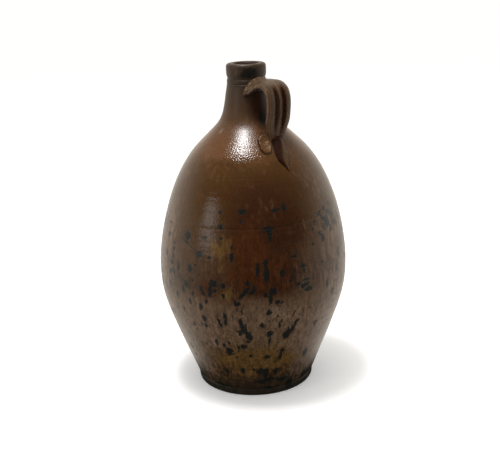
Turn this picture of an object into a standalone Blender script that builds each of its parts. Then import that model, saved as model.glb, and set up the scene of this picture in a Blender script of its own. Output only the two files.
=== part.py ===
"""Stoneware storage bottle: a thrown body in sections, with a ribbed strap handle.

Metres, +Z up. The origin is the centre of the flat base, on the surface that the
bottle stands on. The handle lies in the +X half of the XZ plane.
"""

import math

import bmesh
import bpy
from mathutils import Vector

# Foot
FOOT_RADIUS = 0.0697
FOOT_HEIGHT = 0.0080
FOOT_EDGE = 0.0026
FOOT_LINE_HEIGHT = 0.0018
FOOT_LINE_DEPTH = 0.0009

# Outer outline: each rise is measured from the station below it
WALL_FOOT_RADIUS = 0.0705
WALL_FOOT_ANGLE = math.radians(21.7)
BELLY_RISE = 0.1408
BELLY_RADIUS = 0.1111
SHOULDER_RISE = 0.1381
SHOULDER_RADIUS = 0.0611
SHOULDER_ANGLE = math.radians(45)
NECK_RISE = 0.0671
NECK_RADIUS = 0.0240
NECK_ANGLE = math.radians(6)

# How far each curve is pulled along its end directions, as a share of its rise
WALL_FOOT_PULL_SHARE = 0.75
BELLY_LOWER_PULL_SHARE = 0.25
BELLY_UPPER_PULL_SHARE = 0.125
SHOULDER_LOWER_PULL_SHARE = 0.416
SHOULDER_UPPER_PULL_SHARE = 0.62
NECK_PULL_SHARE = 0.675

# Clay thickness and inside
WALL = 0.0065
FLOOR = 0.0090
FLOOR_FILLET = 0.0180
BORE_RADIUS = 0.0135
BORE_DROP = 0.0110
FILLET_PULL_SHARE = 0.55
BORE_PULL_SHARE = 0.34
INNER_SHOULDER_PULL_SHARE = 0.66

# Mouth: the cordon and the collar above the neck
NECK_LINE_HEIGHT = 0.0016
NECK_LINE_DEPTH = 0.0008
CORDON_HEIGHT = 0.0052
CORDON_RADIUS = 0.0226
CORDON_EDGE = 0.0008
GROOVE_HEIGHT = 0.0020
GROOVE_DEPTH = 0.0014
COLLAR_HEIGHT = 0.0154
COLLAR_RADIUS = 0.0229
COLLAR_LOWER_ROUND = 0.0042
COLLAR_ROUND_SHARE = 0.32
LIP_OUTER_ROUND = 0.0036
LIP_INNER_ROUND = 0.0026

# Luted joints between the thrown sections
GIRTH_JOINT_RISE = 0.0630
NECK_JOINT_RISE = 0.0291
GALLERY_STEP = 0.0030
GIRTH_LINE = 0.0007
CLEARANCE = 0.0003

# Strap handle
STRAP_WIDTH = 0.0325
STRAP_THICKNESS = 0.0095
STRAP_RIBS = 3
RIB_DEPTH = 0.0027
FINGER_GAP = 0.0262
ROOT_RISE = 0.0015
ROOT_WIDTH = 0.0345
ROOT_THICKNESS = 0.0170
CREST_PULL = 0.0065
OUTERMOST_DROP = 0.0165
STRAP_FOOT_RISE = 0.0081
STRAP_FOOT_WIDTH = 0.0210
STRAP_FOOT_THICKNESS = 0.0085
EMBED = 0.0090

# How the strap's line is pulled, and where along it its sections change, as shares
CREST_SHARE = 0.75
BEND_SHARE = 0.90
FALL_UPPER_SHARE = 0.42
FALL_LOWER_SHARE = 0.40
WIDTH_PLACE_SHARES = (0, 0.12, 0.24, 0.68, 0.95, 1)
THICKNESS_PLACE_SHARES = (0, 0.07, 0.20, 0.75, 1)
RIB_PLACE_SHARES = (0, 0.13, 0.32, 0.66, 0.90, 1)
RIB_FOOT_SHARE = 0.35
RIB_EDGE_SHARE = 0.80
RIB_ROUNDNESS = 0.70
INNER_WIDTH_SHARE = 0.96
INNER_ROUND_SHARE = 0.35

# Leaf-shaped tail below the strap
TAIL_LENGTH = 0.0366
TAIL_TOP_WIDTH = 0.0160
TAIL_WIDTH = 0.0180
TAIL_TIP_WIDTH = 0.0030
TAIL_THICKNESS = 0.0044
TAIL_TIP_THICKNESS = 0.0014
TAIL_SWING = 0.0080
TAIL_WIDTH_PLACE_SHARES = (0, 0.40, 0.62, 1)
TAIL_LOWER_WIDTH_SHARE = 0.92
TAIL_THICKNESS_PLACE_SHARES = (0, 0.50, 1)

# The tail's section, from its standing edge to its rounded one: (across, lift) shares
TAIL_SECTION_SHARES = (
    (-1.00, -1.00), (-1.00, 0.55), (-0.88, 1.00), (-0.60, 0.92), (-0.20, 0.72), (0.25, 0.70),
    (0.65, 0.82), (0.88, 0.70), (1.00, 0.30), (1.00, -1.00), (0.40, -1.00), (-0.40, -1.00))

# Thumbed pad beside the strap's foot
PAD_LENGTH = 0.0350
PAD_WIDTH = 0.0185
PAD_THICKNESS = 0.0040
PAD_ACROSS = 0.0186
PAD_ALONG = 0.0008
PAD_TURN = math.radians(21)

# The pad's section from its sunk edge to its hollow: (radius, lift) shares
PAD_SECTION_SHARES = (
    (1.00, -1.00), (1.00, 0.15), (0.93, 0.70), (0.80, 1.00), (0.60, 0.80), (0.35, 0.52), (0.10, 0.42))

# Facets
TURN_STEPS = 60
CURVE_STEPS = 48
LOWER_WALL_STEPS = 13
LOWER_INSIDE_STEPS = 12
DOME_WALL_STEPS = 13
DOME_INSIDE_STEPS = 9
NECK_WALL_STEPS = 6
NECK_INSIDE_STEPS = 5
FOOT_EDGE_STEPS = 3
LIP_STEPS = 4
STRAP_STATIONS = 30
RIB_POINTS = 6
STRAP_INSIDE_POINTS = 6
TAIL_STATIONS = 12
PAD_POINTS = 28
SHARP_ANGLE = math.radians(38)
MERGE_DISTANCE = 0.0001


def clear_scene():
    for item in list(bpy.data.objects):
        bpy.data.objects.remove(item, do_unlink=True)


def new_collection(name):
    collection = bpy.data.collections.new(name)
    bpy.context.scene.collection.children.link(collection)
    return collection


def clay(name, colour, roughness):
    material = bpy.data.materials.new(name)
    material.use_nodes = True
    shader = material.node_tree.nodes["Principled BSDF"]
    shader.inputs["Base Color"].default_value = (*colour, 1)
    shader.inputs["Roughness"].default_value = roughness
    shader.inputs["Metallic"].default_value = 0
    return material


def cubic(start, start_pull, end_pull, end, steps):
    """Points of a cubic curve from start to end, with both ends."""
    points = []
    for step in range(steps + 1):
        t = step / steps
        u = 1 - t
        points.append(start * u**3 + start_pull * (3 * u * u * t) + end_pull * (3 * u * t * t) + end * t**3)
    return points


def smooth(t):
    t = min(max(t, 0), 1)
    return t * t * (3 - 2 * t)


def along_table(stations, t):
    """Value at t in a list of (place, value) pairs, eased between them."""
    for (t0, value0), (t1, value1) in zip(stations, stations[1:]):
        if t <= t1:
            return value0 + (value1 - value0) * smooth((t - t0) / (t1 - t0))
    return stations[-1][1]


def radius_at(curve, height):
    """Radius of a rising outline at a height."""
    for low, high in zip(curve, curve[1:]):
        if low.y <= height <= high.y:
            return low.x + (high.x - low.x) * (height - low.y) / (high.y - low.y)
    return curve[0].x if height < curve[0].y else curve[-1].x


def stretch(curve, low, high, steps):
    """Evenly spaced points of an outline from the low height to the high one."""
    heights = [low + (high - low) * step / steps for step in range(steps + 1)]
    return [Vector((radius_at(curve, height), height)) for height in heights]


def tilt(angle):
    """Direction in the profile plane that rises and leans inwards by an angle."""
    return Vector((-math.sin(angle), math.cos(angle)))


# Stations of the outline
wall_foot = Vector((WALL_FOOT_RADIUS, FOOT_HEIGHT + FOOT_LINE_HEIGHT))
belly = Vector((BELLY_RADIUS, wall_foot.y + BELLY_RISE))
shoulder = Vector((SHOULDER_RADIUS, belly.y + SHOULDER_RISE))
neck_end = Vector((NECK_RADIUS, shoulder.y + NECK_RISE))
cordon_base = neck_end.y + NECK_LINE_HEIGHT
collar_base = cordon_base + CORDON_HEIGHT + GROOVE_HEIGHT
rim_height = collar_base + COLLAR_HEIGHT
girth_height = belly.y + GIRTH_JOINT_RISE
neck_joint_height = shoulder.y + NECK_JOINT_RISE


def outer_outline():
    """The outside from the foot line to the top of the neck, bottom to top."""
    up = Vector((0, 1))
    wall = cubic(
        wall_foot,
        wall_foot + tilt(-WALL_FOOT_ANGLE) * BELLY_RISE * WALL_FOOT_PULL_SHARE,
        belly - up * BELLY_RISE * BELLY_LOWER_PULL_SHARE,
        belly, CURVE_STEPS)
    dome = cubic(
        belly,
        belly + up * SHOULDER_RISE * BELLY_UPPER_PULL_SHARE,
        shoulder - tilt(SHOULDER_ANGLE) * SHOULDER_RISE * SHOULDER_LOWER_PULL_SHARE,
        shoulder, CURVE_STEPS)
    flare = cubic(
        shoulder,
        shoulder + tilt(SHOULDER_ANGLE) * NECK_RISE * SHOULDER_UPPER_PULL_SHARE,
        neck_end - tilt(NECK_ANGLE) * NECK_RISE * NECK_PULL_SHARE,
        neck_end, CURVE_STEPS)
    return wall + dome[1:] + flare[1:]


def inner_outline(outer):
    """The inside from the floor's edge to the top of the bore, bottom to top."""
    wall = []
    for before, here, after in zip(outer, outer[1:], outer[2:]):
        direction = (after - before).normalized()
        inside = here + Vector((-direction.y, direction.x)) * WALL
        if FLOOR + FLOOR_FILLET <= inside.y and here.y <= shoulder.y:
            wall.append(inside)
    wall_start = (wall[1] - wall[0]).normalized()
    floor_edge = Vector((wall[0].x - FLOOR_FILLET, FLOOR))
    fillet = cubic(
        floor_edge,
        floor_edge + Vector((FLOOR_FILLET * FILLET_PULL_SHARE, 0)),
        wall[0] - wall_start * FLOOR_FILLET * FILLET_PULL_SHARE,
        wall[0], CURVE_STEPS)
    bore_start = Vector((BORE_RADIUS, neck_end.y - BORE_DROP))
    wall_end = (wall[-1] - wall[-2]).normalized()
    rise = bore_start.y - wall[-1].y
    throat = cubic(
        wall[-1],
        wall[-1] + wall_end * rise * INNER_SHOULDER_PULL_SHARE,
        bore_start - Vector((0, rise * BORE_PULL_SHARE)),
        bore_start, CURVE_STEPS)
    return fillet + wall[1:] + throat[1:]


def half_way(outer, inner, height):
    """Radius of the gallery step: the middle of the wall at a height."""
    return (radius_at(outer, height) + radius_at(inner, height)) / 2


def lower_seam(outer, inner, height, line):
    """Rim of the section below a joint, from the inside to the outside."""
    middle = half_way(outer, inner, height)
    step = height - GALLERY_STEP
    return [
        Vector((radius_at(inner, step), step)),
        Vector((middle, step)),
        Vector((middle, height)),
        Vector((radius_at(outer, height) - line, height)),
    ]


def upper_seam(outer, inner, height, line):
    """Edge of the section above a joint, from the outside to the inside."""
    middle = half_way(outer, inner, height) - CLEARANCE
    edge = height + CLEARANCE
    tongue = edge - GALLERY_STEP
    return [
        Vector((radius_at(outer, edge) - line, edge)),
        Vector((middle, edge)),
        Vector((middle, tongue)),
        Vector((radius_at(inner, tongue), tongue)),
    ]


def arc(centre, radius, start, end, steps):
    """Points of an arc in the profile plane; angles are measured from +X."""
    angles = [start + (end - start) * step / steps for step in range(steps + 1)]
    return [centre + Vector((math.cos(angle), math.sin(angle))) * radius for angle in angles]


def foot_profile():
    """The foot from the line above it down to the axis."""
    line_middle = FOOT_HEIGHT + FOOT_LINE_HEIGHT / 2
    edge_centre = Vector((FOOT_RADIUS - FOOT_EDGE, FOOT_EDGE))
    return [
        Vector((FOOT_RADIUS - FOOT_LINE_DEPTH, line_middle)),
        Vector((FOOT_RADIUS, FOOT_HEIGHT)),
        *arc(edge_centre, FOOT_EDGE, 0, -math.pi / 2, FOOT_EDGE_STEPS),
        Vector((0, 0)),
    ]


def lip_profile():
    """The inner lip, from the bore up to the rim."""
    inner_round = Vector((BORE_RADIUS + LIP_INNER_ROUND, rim_height - LIP_INNER_ROUND))
    return arc(inner_round, LIP_INNER_ROUND, math.pi, math.pi / 2, LIP_STEPS)


def mouth_profile():
    """The outside of the mouth from the rim over the collar and cordon to the neck."""
    outer_round = Vector((COLLAR_RADIUS - LIP_OUTER_ROUND, rim_height - LIP_OUTER_ROUND))
    cordon_top = cordon_base + CORDON_HEIGHT
    groove_radius = COLLAR_RADIUS - GROOVE_DEPTH
    return [
        *arc(outer_round, LIP_OUTER_ROUND, math.pi / 2, 0, LIP_STEPS),
        Vector((COLLAR_RADIUS, collar_base + COLLAR_LOWER_ROUND)),
        Vector((
            COLLAR_RADIUS - GROOVE_DEPTH * COLLAR_ROUND_SHARE,
            collar_base + COLLAR_LOWER_ROUND * COLLAR_ROUND_SHARE)),
        Vector((groove_radius, collar_base)),
        Vector((groove_radius, cordon_top + GROOVE_HEIGHT / 2)),
        Vector((CORDON_RADIUS - CORDON_EDGE, cordon_top)),
        Vector((CORDON_RADIUS, cordon_top - CORDON_EDGE)),
        Vector((CORDON_RADIUS, cordon_base + CORDON_EDGE)),
        Vector((CORDON_RADIUS - NECK_LINE_DEPTH, cordon_base)),
        Vector((NECK_RADIUS - NECK_LINE_DEPTH, neck_end.y + NECK_LINE_HEIGHT / 2)),
    ]


def turned(name, profile, closed, material, collection):
    """A body of revolution whose profile runs down its outer side."""
    mesh = bpy.data.meshes.new(name)
    edges = [(index, index + 1) for index in range(len(profile) - 1)]
    if closed:
        edges.append((len(profile) - 1, 0))
    mesh.from_pydata([(point.x, 0, point.y) for point in profile], edges, [])
    item = bpy.data.objects.new(name, mesh)
    collection.objects.link(item)
    screw = item.modifiers.new("turn", "SCREW")
    screw.axis = "Z"
    screw.steps = TURN_STEPS
    screw.render_steps = TURN_STEPS
    screw.use_merge_vertices = True
    screw.merge_threshold = MERGE_DISTANCE
    screw.use_smooth_shade = True
    mesh.materials.append(material)
    return item


def loft(name, rings, material, collection):
    """A closed skin through rings of equally many points, with flat ends."""
    shape = bmesh.new()
    rows = [[shape.verts.new(point) for point in ring] for ring in rings]
    count = len(rows[0])
    for row, following in zip(rows, rows[1:]):
        for index in range(count):
            after = (index + 1) % count
            shape.faces.new((row[index], row[after], following[after], following[index]))
    shape.faces.new(list(reversed(rows[0])))
    shape.faces.new(rows[-1])
    bmesh.ops.recalc_face_normals(shape, faces=shape.faces)
    mesh = bpy.data.meshes.new(name)
    shape.to_mesh(mesh)
    shape.free()
    mesh.shade_smooth()
    mesh.set_sharp_from_angle(angle=SHARP_ANGLE)
    mesh.materials.append(material)
    item = bpy.data.objects.new(name, mesh)
    collection.objects.link(item)
    return item


def cut(item, cutter):
    boolean = item.modifiers.new("cut by " + cutter.name, "BOOLEAN")
    boolean.operation = "DIFFERENCE"
    boolean.object = cutter


def as_cutter(item):
    item.hide_render = True
    item.display_type = "WIRE"
    return item


# Outlines that the sections, the cutter and the pads share
outer = outer_outline()
inner = inner_outline(outer)
lower_wall = stretch(outer, wall_foot.y, girth_height - GIRTH_LINE, LOWER_WALL_STEPS)
lower_inside = stretch(inner, FLOOR, girth_height - GALLERY_STEP, LOWER_INSIDE_STEPS)
dome_wall = stretch(outer, girth_height + CLEARANCE + GIRTH_LINE, neck_joint_height, DOME_WALL_STEPS)
dome_inside = stretch(
    inner, girth_height + CLEARANCE - GALLERY_STEP, neck_joint_height - GALLERY_STEP, DOME_INSIDE_STEPS)
neck_wall = stretch(outer, neck_joint_height + CLEARANCE, neck_end.y, NECK_WALL_STEPS)
neck_inside = stretch(
    inner, neck_joint_height + CLEARANCE - GALLERY_STEP, neck_end.y - BORE_DROP, NECK_INSIDE_STEPS)


def build_lower_body(material, collection):
    profile = [
        Vector((0, FLOOR)),
        *lower_inside[:-1],
        *lower_seam(outer, inner, girth_height, GIRTH_LINE),
        *reversed(lower_wall),
        *foot_profile(),
    ]
    return turned("lower_body", profile, False, material, collection)


def build_upper_body(material, collection):
    profile = [
        *lower_seam(outer, inner, neck_joint_height, 0),
        *reversed(dome_wall[:-1]),
        *upper_seam(outer, inner, girth_height, GIRTH_LINE),
        *dome_inside[1:-1],
    ]
    return turned("upper_body", profile, True, material, collection)


def build_neck(material, collection):
    profile = [
        *lip_profile(),
        *mouth_profile(),
        *reversed(neck_wall[1:]),
        *upper_seam(outer, inner, neck_joint_height, 0),
        *neck_inside[1:],
    ]
    return turned("neck", profile, True, material, collection)


def build_outside_cutter(material, collection):
    """The outside of the dome, neck and mouth, larger by the clearance."""
    profile = mouth_profile() + list(reversed(neck_wall)) + list(reversed(dome_wall))
    profile = [point + Vector((CLEARANCE, 0)) for point in profile]
    top = Vector((0, profile[0].y))
    bottom = Vector((0, profile[-1].y))
    return as_cutter(turned("outside_cutter", [top, *profile, bottom], False, material, collection))


def strap_line():
    """Centre line of the strap in the XZ plane, from inside the neck to inside the shoulder."""
    root = Vector((NECK_RADIUS - EMBED, neck_end.y + ROOT_RISE))
    reach = NECK_RADIUS + FINGER_GAP + STRAP_THICKNESS / 2
    outermost = Vector((reach, root.y - OUTERMOST_DROP))
    foot_height = shoulder.y + STRAP_FOOT_RISE
    inward = Vector((-math.sin(SHOULDER_ANGLE), -math.cos(SHOULDER_ANGLE)))
    foot = Vector((radius_at(outer, foot_height), foot_height)) + inward * EMBED
    fall = outermost.y - foot.y
    over = cubic(
        root,
        root + Vector(((outermost.x - root.x) * CREST_SHARE, CREST_PULL)),
        outermost + Vector((0, OUTERMOST_DROP * BEND_SHARE)),
        outermost, CURVE_STEPS)
    down = cubic(
        outermost,
        outermost - Vector((0, fall * FALL_UPPER_SHARE)),
        foot + Vector((0, fall * FALL_LOWER_SHARE)),
        foot, CURVE_STEPS)
    return over + down[1:]


def strap_section(width, thickness, rib_depth):
    """Across and outward places of the strap's ring: ribbed outside, plain inside."""
    places = []
    edge_rib = 1 - 1 / STRAP_RIBS
    outer_points = STRAP_RIBS * RIB_POINTS
    for index in range(outer_points + 1):
        s = -1 + 2 * index / outer_points
        drop = 1 - abs(math.cos(s * math.pi * STRAP_RIBS / 2)) ** RIB_ROUNDNESS
        if abs(s) > edge_rib:
            edge = (abs(s) - edge_rib) / (1 - edge_rib)
            drop = RIB_EDGE_SHARE * (1 - math.sqrt(max(1 - edge * edge, 0)))
        places.append((s * width / 2, thickness / 2 - rib_depth * drop))
    for index in range(STRAP_INSIDE_POINTS + 1):
        s = 1 - 2 * index / STRAP_INSIDE_POINTS
        places.append((s * width / 2 * INNER_WIDTH_SHARE, -thickness / 2 * (1 - INNER_ROUND_SHARE * s**4)))
    return places


def strap_rings(grow):
    line = strap_line()
    lengths = [0]
    for before, after in zip(line, line[1:]):
        lengths.append(lengths[-1] + (after - before).length)
    foot_rib = RIB_DEPTH * RIB_FOOT_SHARE
    widths = list(zip(WIDTH_PLACE_SHARES, (
        ROOT_WIDTH, ROOT_WIDTH, STRAP_WIDTH, STRAP_WIDTH, STRAP_FOOT_WIDTH, STRAP_FOOT_WIDTH)))
    thicknesses = list(zip(THICKNESS_PLACE_SHARES, (
        ROOT_THICKNESS, ROOT_THICKNESS, STRAP_THICKNESS, STRAP_THICKNESS, STRAP_FOOT_THICKNESS)))
    ribs = list(zip(RIB_PLACE_SHARES, (0, 0, RIB_DEPTH, RIB_DEPTH, foot_rib, foot_rib)))
    rings = []
    for station in range(STRAP_STATIONS + 1):
        t = station / STRAP_STATIONS
        target = t * lengths[-1]
        index = max(i for i, length in enumerate(lengths[:-1]) if length <= target)
        part = (target - lengths[index]) / (lengths[index + 1] - lengths[index])
        direction = (line[index + 1] - line[index]).normalized()
        outward = Vector((-direction.y, direction.x))
        flare = along_table(thicknesses, t) - STRAP_THICKNESS
        centre = line[index].lerp(line[index + 1], part) - outward * flare / 2
        width = along_table(widths, t) + 2 * grow
        thickness = STRAP_THICKNESS + flare + 2 * grow
        ring = []
        for across, out in strap_section(width, thickness, along_table(ribs, t)):
            place = centre + outward * out
            ring.append((place.x, across, place.y))
        rings.append(ring)
    return rings


def shoulder_places():
    """Arc length down the shoulder from the strap's foot, with place and normal."""
    foot_height = shoulder.y + STRAP_FOOT_RISE
    falling = [point for point in reversed(outer) if point.y > belly.y]
    places = []
    length = 0
    for here, following in zip(falling, falling[1:]):
        direction = (following - here).normalized()
        places.append((length, here, Vector((-direction.y, direction.x))))
        length += (following - here).length
    start = min(places, key=lambda place: abs(place[1].y - foot_height))[0]
    return [(place - start, point, normal) for place, point, normal in places]


def on_shoulder(places, across, along, lift):
    """Point lifted off the shoulder, across from the XZ plane and along from the foot."""
    for (length0, point0, normal0), (length1, point1, normal1) in zip(places, places[1:]):
        if along <= length1:
            part = (along - length0) / (length1 - length0)
            point = point0.lerp(point1, part)
            normal = normal0.lerp(normal1, part).normalized()
            turn = across / point.x
            place = point + normal * lift
            return (place.x * math.cos(turn), place.x * math.sin(turn), place.y)
    return None


def tail_rings(grow):
    """Leaf that swings aside and thins out, with its outer edge standing up."""
    places = shoulder_places()
    widths = list(zip(TAIL_WIDTH_PLACE_SHARES, (
        TAIL_TOP_WIDTH, TAIL_WIDTH, TAIL_WIDTH * TAIL_LOWER_WIDTH_SHARE, TAIL_TIP_WIDTH)))
    thicknesses = list(zip(TAIL_THICKNESS_PLACE_SHARES, (TAIL_THICKNESS, TAIL_THICKNESS, TAIL_TIP_THICKNESS)))
    rings = []
    for station in range(TAIL_STATIONS + 1):
        t = station / TAIL_STATIONS
        along = -TAIL_THICKNESS + t * (TAIL_LENGTH + TAIL_THICKNESS)
        half = along_table(widths, t) / 2 + grow
        thickness = along_table(thicknesses, t) + grow
        swing = -TAIL_SWING * math.sin(t * math.pi / 2)
        ring = []
        for across_share, lift_share in TAIL_SECTION_SHARES:
            lift = thickness * lift_share if lift_share > 0 else -TAIL_THICKNESS
            ring.append(on_shoulder(places, swing + half * across_share, along, lift))
        rings.append(ring)
    return rings


def pad_rings():
    """Oval pad pressed hollow by a thumb, from its sunk underside to its middle."""
    places = shoulder_places()
    rings = []
    for radius_share, lift_share in PAD_SECTION_SHARES:
        ring = []
        for index in range(PAD_POINTS):
            angle = 2 * math.pi * index / PAD_POINTS
            across = math.cos(angle) * PAD_WIDTH / 2 * radius_share
            along = math.sin(angle) * PAD_LENGTH / 2 * radius_share
            turned_across = across * math.cos(PAD_TURN) - along * math.sin(PAD_TURN)
            turned_along = across * math.sin(PAD_TURN) + along * math.cos(PAD_TURN)
            ring.append(on_shoulder(
                places, turned_across - PAD_ACROSS, turned_along + PAD_ALONG, PAD_THICKNESS * lift_share))
        rings.append(ring)
    return rings


def build():
    clear_scene()
    bottle = new_collection("stoneware_bottle")
    cutters = new_collection("cutters")
    ochre = clay("ochre_glaze", (0.115, 0.062, 0.026), 0.32)
    brown = clay("brown_glaze", (0.110, 0.052, 0.026), 0.28)
    dark = clay("dark_glaze", (0.075, 0.042, 0.026), 0.30)
    mauve = clay("strap_glaze", (0.120, 0.068, 0.045), 0.34)
    build_lower_body(ochre, bottle)
    build_upper_body(brown, bottle)
    build_neck(dark, bottle)
    outside = build_outside_cutter(dark, cutters)
    strap_space = as_cutter(loft("strap_space", strap_rings(CLEARANCE), mauve, cutters))
    tail_space = as_cutter(loft("tail_space", tail_rings(CLEARANCE), mauve, cutters))
    handle = loft("handle", strap_rings(0), mauve, bottle)
    cut(handle, outside)
    tail = loft("handle_tail", tail_rings(0), mauve, bottle)
    cut(tail, outside)
    cut(tail, strap_space)
    pad = loft("thumbed_pad", pad_rings(), mauve, bottle)
    cut(pad, strap_space)
    cut(pad, tail_space)
    cut(pad, outside)


build()
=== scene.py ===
"""A brown stoneware storage bottle on a plain pale floor.

Metres, +Z up, with the handle towards +X. Each piece of clay is modelled in the place
of the node that it stands for, and glazed with one family of brown glazes.
"""

import math

import bmesh
import bpy
import numpy as np
from mathutils import Matrix, Vector, noise


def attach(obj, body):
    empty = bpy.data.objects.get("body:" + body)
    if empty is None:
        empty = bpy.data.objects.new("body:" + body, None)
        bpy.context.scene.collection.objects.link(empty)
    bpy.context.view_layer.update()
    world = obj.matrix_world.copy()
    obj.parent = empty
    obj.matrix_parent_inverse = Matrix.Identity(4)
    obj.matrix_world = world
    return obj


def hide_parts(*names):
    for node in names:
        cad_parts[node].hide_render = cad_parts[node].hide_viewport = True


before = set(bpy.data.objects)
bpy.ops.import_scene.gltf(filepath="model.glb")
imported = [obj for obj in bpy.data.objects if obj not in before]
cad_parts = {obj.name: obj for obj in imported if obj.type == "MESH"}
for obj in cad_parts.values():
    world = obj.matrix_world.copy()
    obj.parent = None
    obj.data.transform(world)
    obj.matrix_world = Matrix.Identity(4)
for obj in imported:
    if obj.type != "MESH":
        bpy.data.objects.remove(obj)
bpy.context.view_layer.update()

# Camera
CAMERA_BEARING = math.radians(51.5)
CAMERA_DISTANCE = 0.99313
CAMERA_HEIGHT = 0.48438
CAMERA_PITCH = math.radians(17.37)
CAMERA_ROLL = -0.038
CAMERA_SIDESTEP = 0.0027
CAMERA_LENS = 62.7
SENSOR_WIDTH = 36

# Foot
FOOT_RADIUS = 0.0697
FOOT_HEIGHT = 0.0080
FOOT_EDGE = 0.0026
FOOT_LINE_HEIGHT = 0.0018
FOOT_LINE_DEPTH = 0.0006

# Outer outline, each rise measured from the station below it
WALL_FOOT_RADIUS = 0.0705
WALL_FOOT_ANGLE = math.radians(21.7)
BELLY_RISE = 0.1408
BELLY_RADIUS = 0.1111
SHOULDER_RISE = 0.1381
SHOULDER_RADIUS = 0.0611
SHOULDER_ANGLE = math.radians(45)
NECK_RISE = 0.0671
NECK_RADIUS = 0.0240
NECK_ANGLE = math.radians(6)
WALL_FOOT_PULL = 0.75
BELLY_LOWER_PULL = 0.25
BELLY_UPPER_PULL = 0.125
SHOULDER_LOWER_PULL = 0.416
SHOULDER_UPPER_PULL = 0.62
NECK_PULL = 0.675

# Inside
WALL = 0.0065
FLOOR = 0.0090
FLOOR_FILLET = 0.0180
BORE_RADIUS = 0.0135
BORE_DROP = 0.0110
FILLET_PULL = 0.55
BORE_PULL = 0.34
INNER_SHOULDER_PULL = 0.66

# Mouth
NECK_LINE_HEIGHT = 0.0016
NECK_LINE_DEPTH = 0.0005
CORDON_HEIGHT = 0.0052
CORDON_RADIUS = 0.0226
CORDON_EDGE = 0.0008
GROOVE_HEIGHT = 0.0020
GROOVE_DEPTH = 0.0014
COLLAR_HEIGHT = 0.0154
COLLAR_RADIUS = 0.0229
COLLAR_LOWER_ROUND = 0.0042
COLLAR_ROUND = 0.32
LIP_OUTER_ROUND = 0.0036
LIP_INNER_ROUND = 0.0026

# Joints between the thrown sections
GIRTH_JOINT_RISE = 0.0630
NECK_JOINT_RISE = 0.0291
GALLERY_STEP = 0.0030
SEAM = 0.00001

# Strap handle
STRAP_WIDTH = 0.0325
STRAP_THICKNESS = 0.0095
RIB_DEPTH = 0.0029
FINGER_GAP = 0.0262
ROOT_RISE = 0.0015
ROOT_WIDTH = 0.0345
ROOT_THICKNESS = 0.0120
CREST_PULL = 0.0065
OUTERMOST_DROP = 0.0165
STRAP_FOOT_RISE = 0.0081
STRAP_FOOT_WIDTH = 0.0210
STRAP_FOOT_THICKNESS = 0.0085
EMBED = 0.0090
CREST_SHARE = 0.75
BEND_SHARE = 0.90
FALL_UPPER = 0.42
FALL_LOWER = 0.40
WIDTH_PLACES = (0, 0.12, 0.24, 0.68, 0.95, 1)
THICKNESS_PLACES = (0, 0.07, 0.20, 0.75, 1)
RIB_PLACES = (0, 0.31, 0.43, 0.64, 0.90, 1)
RIB_FOOT = 0.20
ROOT_FILLET = 0.0022
ROOT_TAPER = 0.12
ROOT_SAG = 0.0085
GROOVE_PLACE = 0.33
GROOVE_WIDTH = 0.17
FOOT_FILLET = 0.0014
GROOVE_EDGE = 0.30
SECTION_SQUARENESS = 0.62
UNDERSIDE_DISH = 0.10
ROOT_REACH = 0.30
# Painted shade: the underside of the strap near its root is darkened as a hollow
ROOT_SHADE = 0.75
STRAP_DENT_SIZE = 0.010
STRAP_DENT_ACROSS = 0.0006
STRAP_DENT_UP = 0.0003
STRAP_REDDENING = 0.9

# Leaf-shaped tail
TAIL_LENGTH = 0.0366
TAIL_TOP_WIDTH = 0.0160
TAIL_WIDTH = 0.0180
TAIL_TIP_WIDTH = 0.0030
TAIL_THICKNESS = 0.0044
TAIL_TIP_THICKNESS = 0.0014
TAIL_SWING = 0.0080
TAIL_WIDTH_PLACES = (0, 0.40, 0.62, 1)
TAIL_LOWER_WIDTH = 0.92
TAIL_THICKNESS_PLACES = (0, 0.50, 1)
TAIL_SECTION = (
    (-1.00, -1.00), (-1.03, 0.10), (-0.94, 0.52), (-0.70, 0.70), (-0.34, 0.82), (-0.02, 1.00),
    (0.16, 0.98), (0.42, 0.66), (0.72, 0.36), (0.94, 0.00), (1.08, -0.45),
    (1.00, -1.00), (0.40, -1.00), (-0.40, -1.00))
TAIL_RED_TOP = 0.35
TAIL_RED_TIP = -0.45
TAIL_RED_EDGE = 0.22
# Painted shade along the leaf's raised left edge, where it stands off the shoulder
CREVICE_SHADE_START = -0.66
CREVICE_SHADE_EDGE = 0.24

# Thumbed pad
PAD_LENGTH = 0.0350
PAD_WIDTH = 0.0185
PAD_THICKNESS = 0.0040
PAD_ACROSS = 0.0186
PAD_ALONG = 0.0008
PAD_TURN = math.radians(21)
PAD_RIM = 0.74
# Painted shade round the pad's edge, deeper on one side
PAD_SHADE_START = 0.70
PAD_SHADE_EDGE = 0.20
PAD_REDDENING = 0.35

# Fineness of the meshes
TURN_STEPS = 360
CURVE_STEPS = 160
STRAP_STATIONS = 120
STRAP_POINTS = 96
TAIL_STATIONS = 64
TAIL_POINTS = 60
PAD_POINTS = 72
PAD_RINGS = 26
MERGE = 0.000004
WALL_SPACING = 0.0014
UPPER_WALL_SPACING = 0.0013
NECK_WALL_SPACING = 0.0010
STRAP_LINE_SPACING = 0.0002


def rgb(red, green, blue):
    """A colour named by its display values, turned linear."""
    return tuple(((value / 255 + 0.055) / 1.055) ** 2.4 if value > 10 else value / 3295 for value in (
        red, green, blue))


def deselect():
    bpy.ops.object.select_all(action="DESELECT")


# Outline
def cubic(start, start_pull, end_pull, end, steps=CURVE_STEPS):
    points = []
    for step in range(steps + 1):
        t = step / steps
        u = 1 - t
        points.append(start * u**3 + start_pull * (3 * u * u * t) + end_pull * (3 * u * t * t) + end * t**3)
    return points


def smooth(t):
    t = min(max(t, 0), 1)
    return t * t * (3 - 2 * t)


def along_table(places, values, t):
    """Value at t between the places, eased from one to the next."""
    for t0, t1, value0, value1 in zip(places, places[1:], values, values[1:]):
        if t <= t1:
            return value0 + (value1 - value0) * smooth((t - t0) / (t1 - t0))
    return values[-1]


def tilt(angle):
    return Vector((-math.sin(angle), math.cos(angle)))


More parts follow.
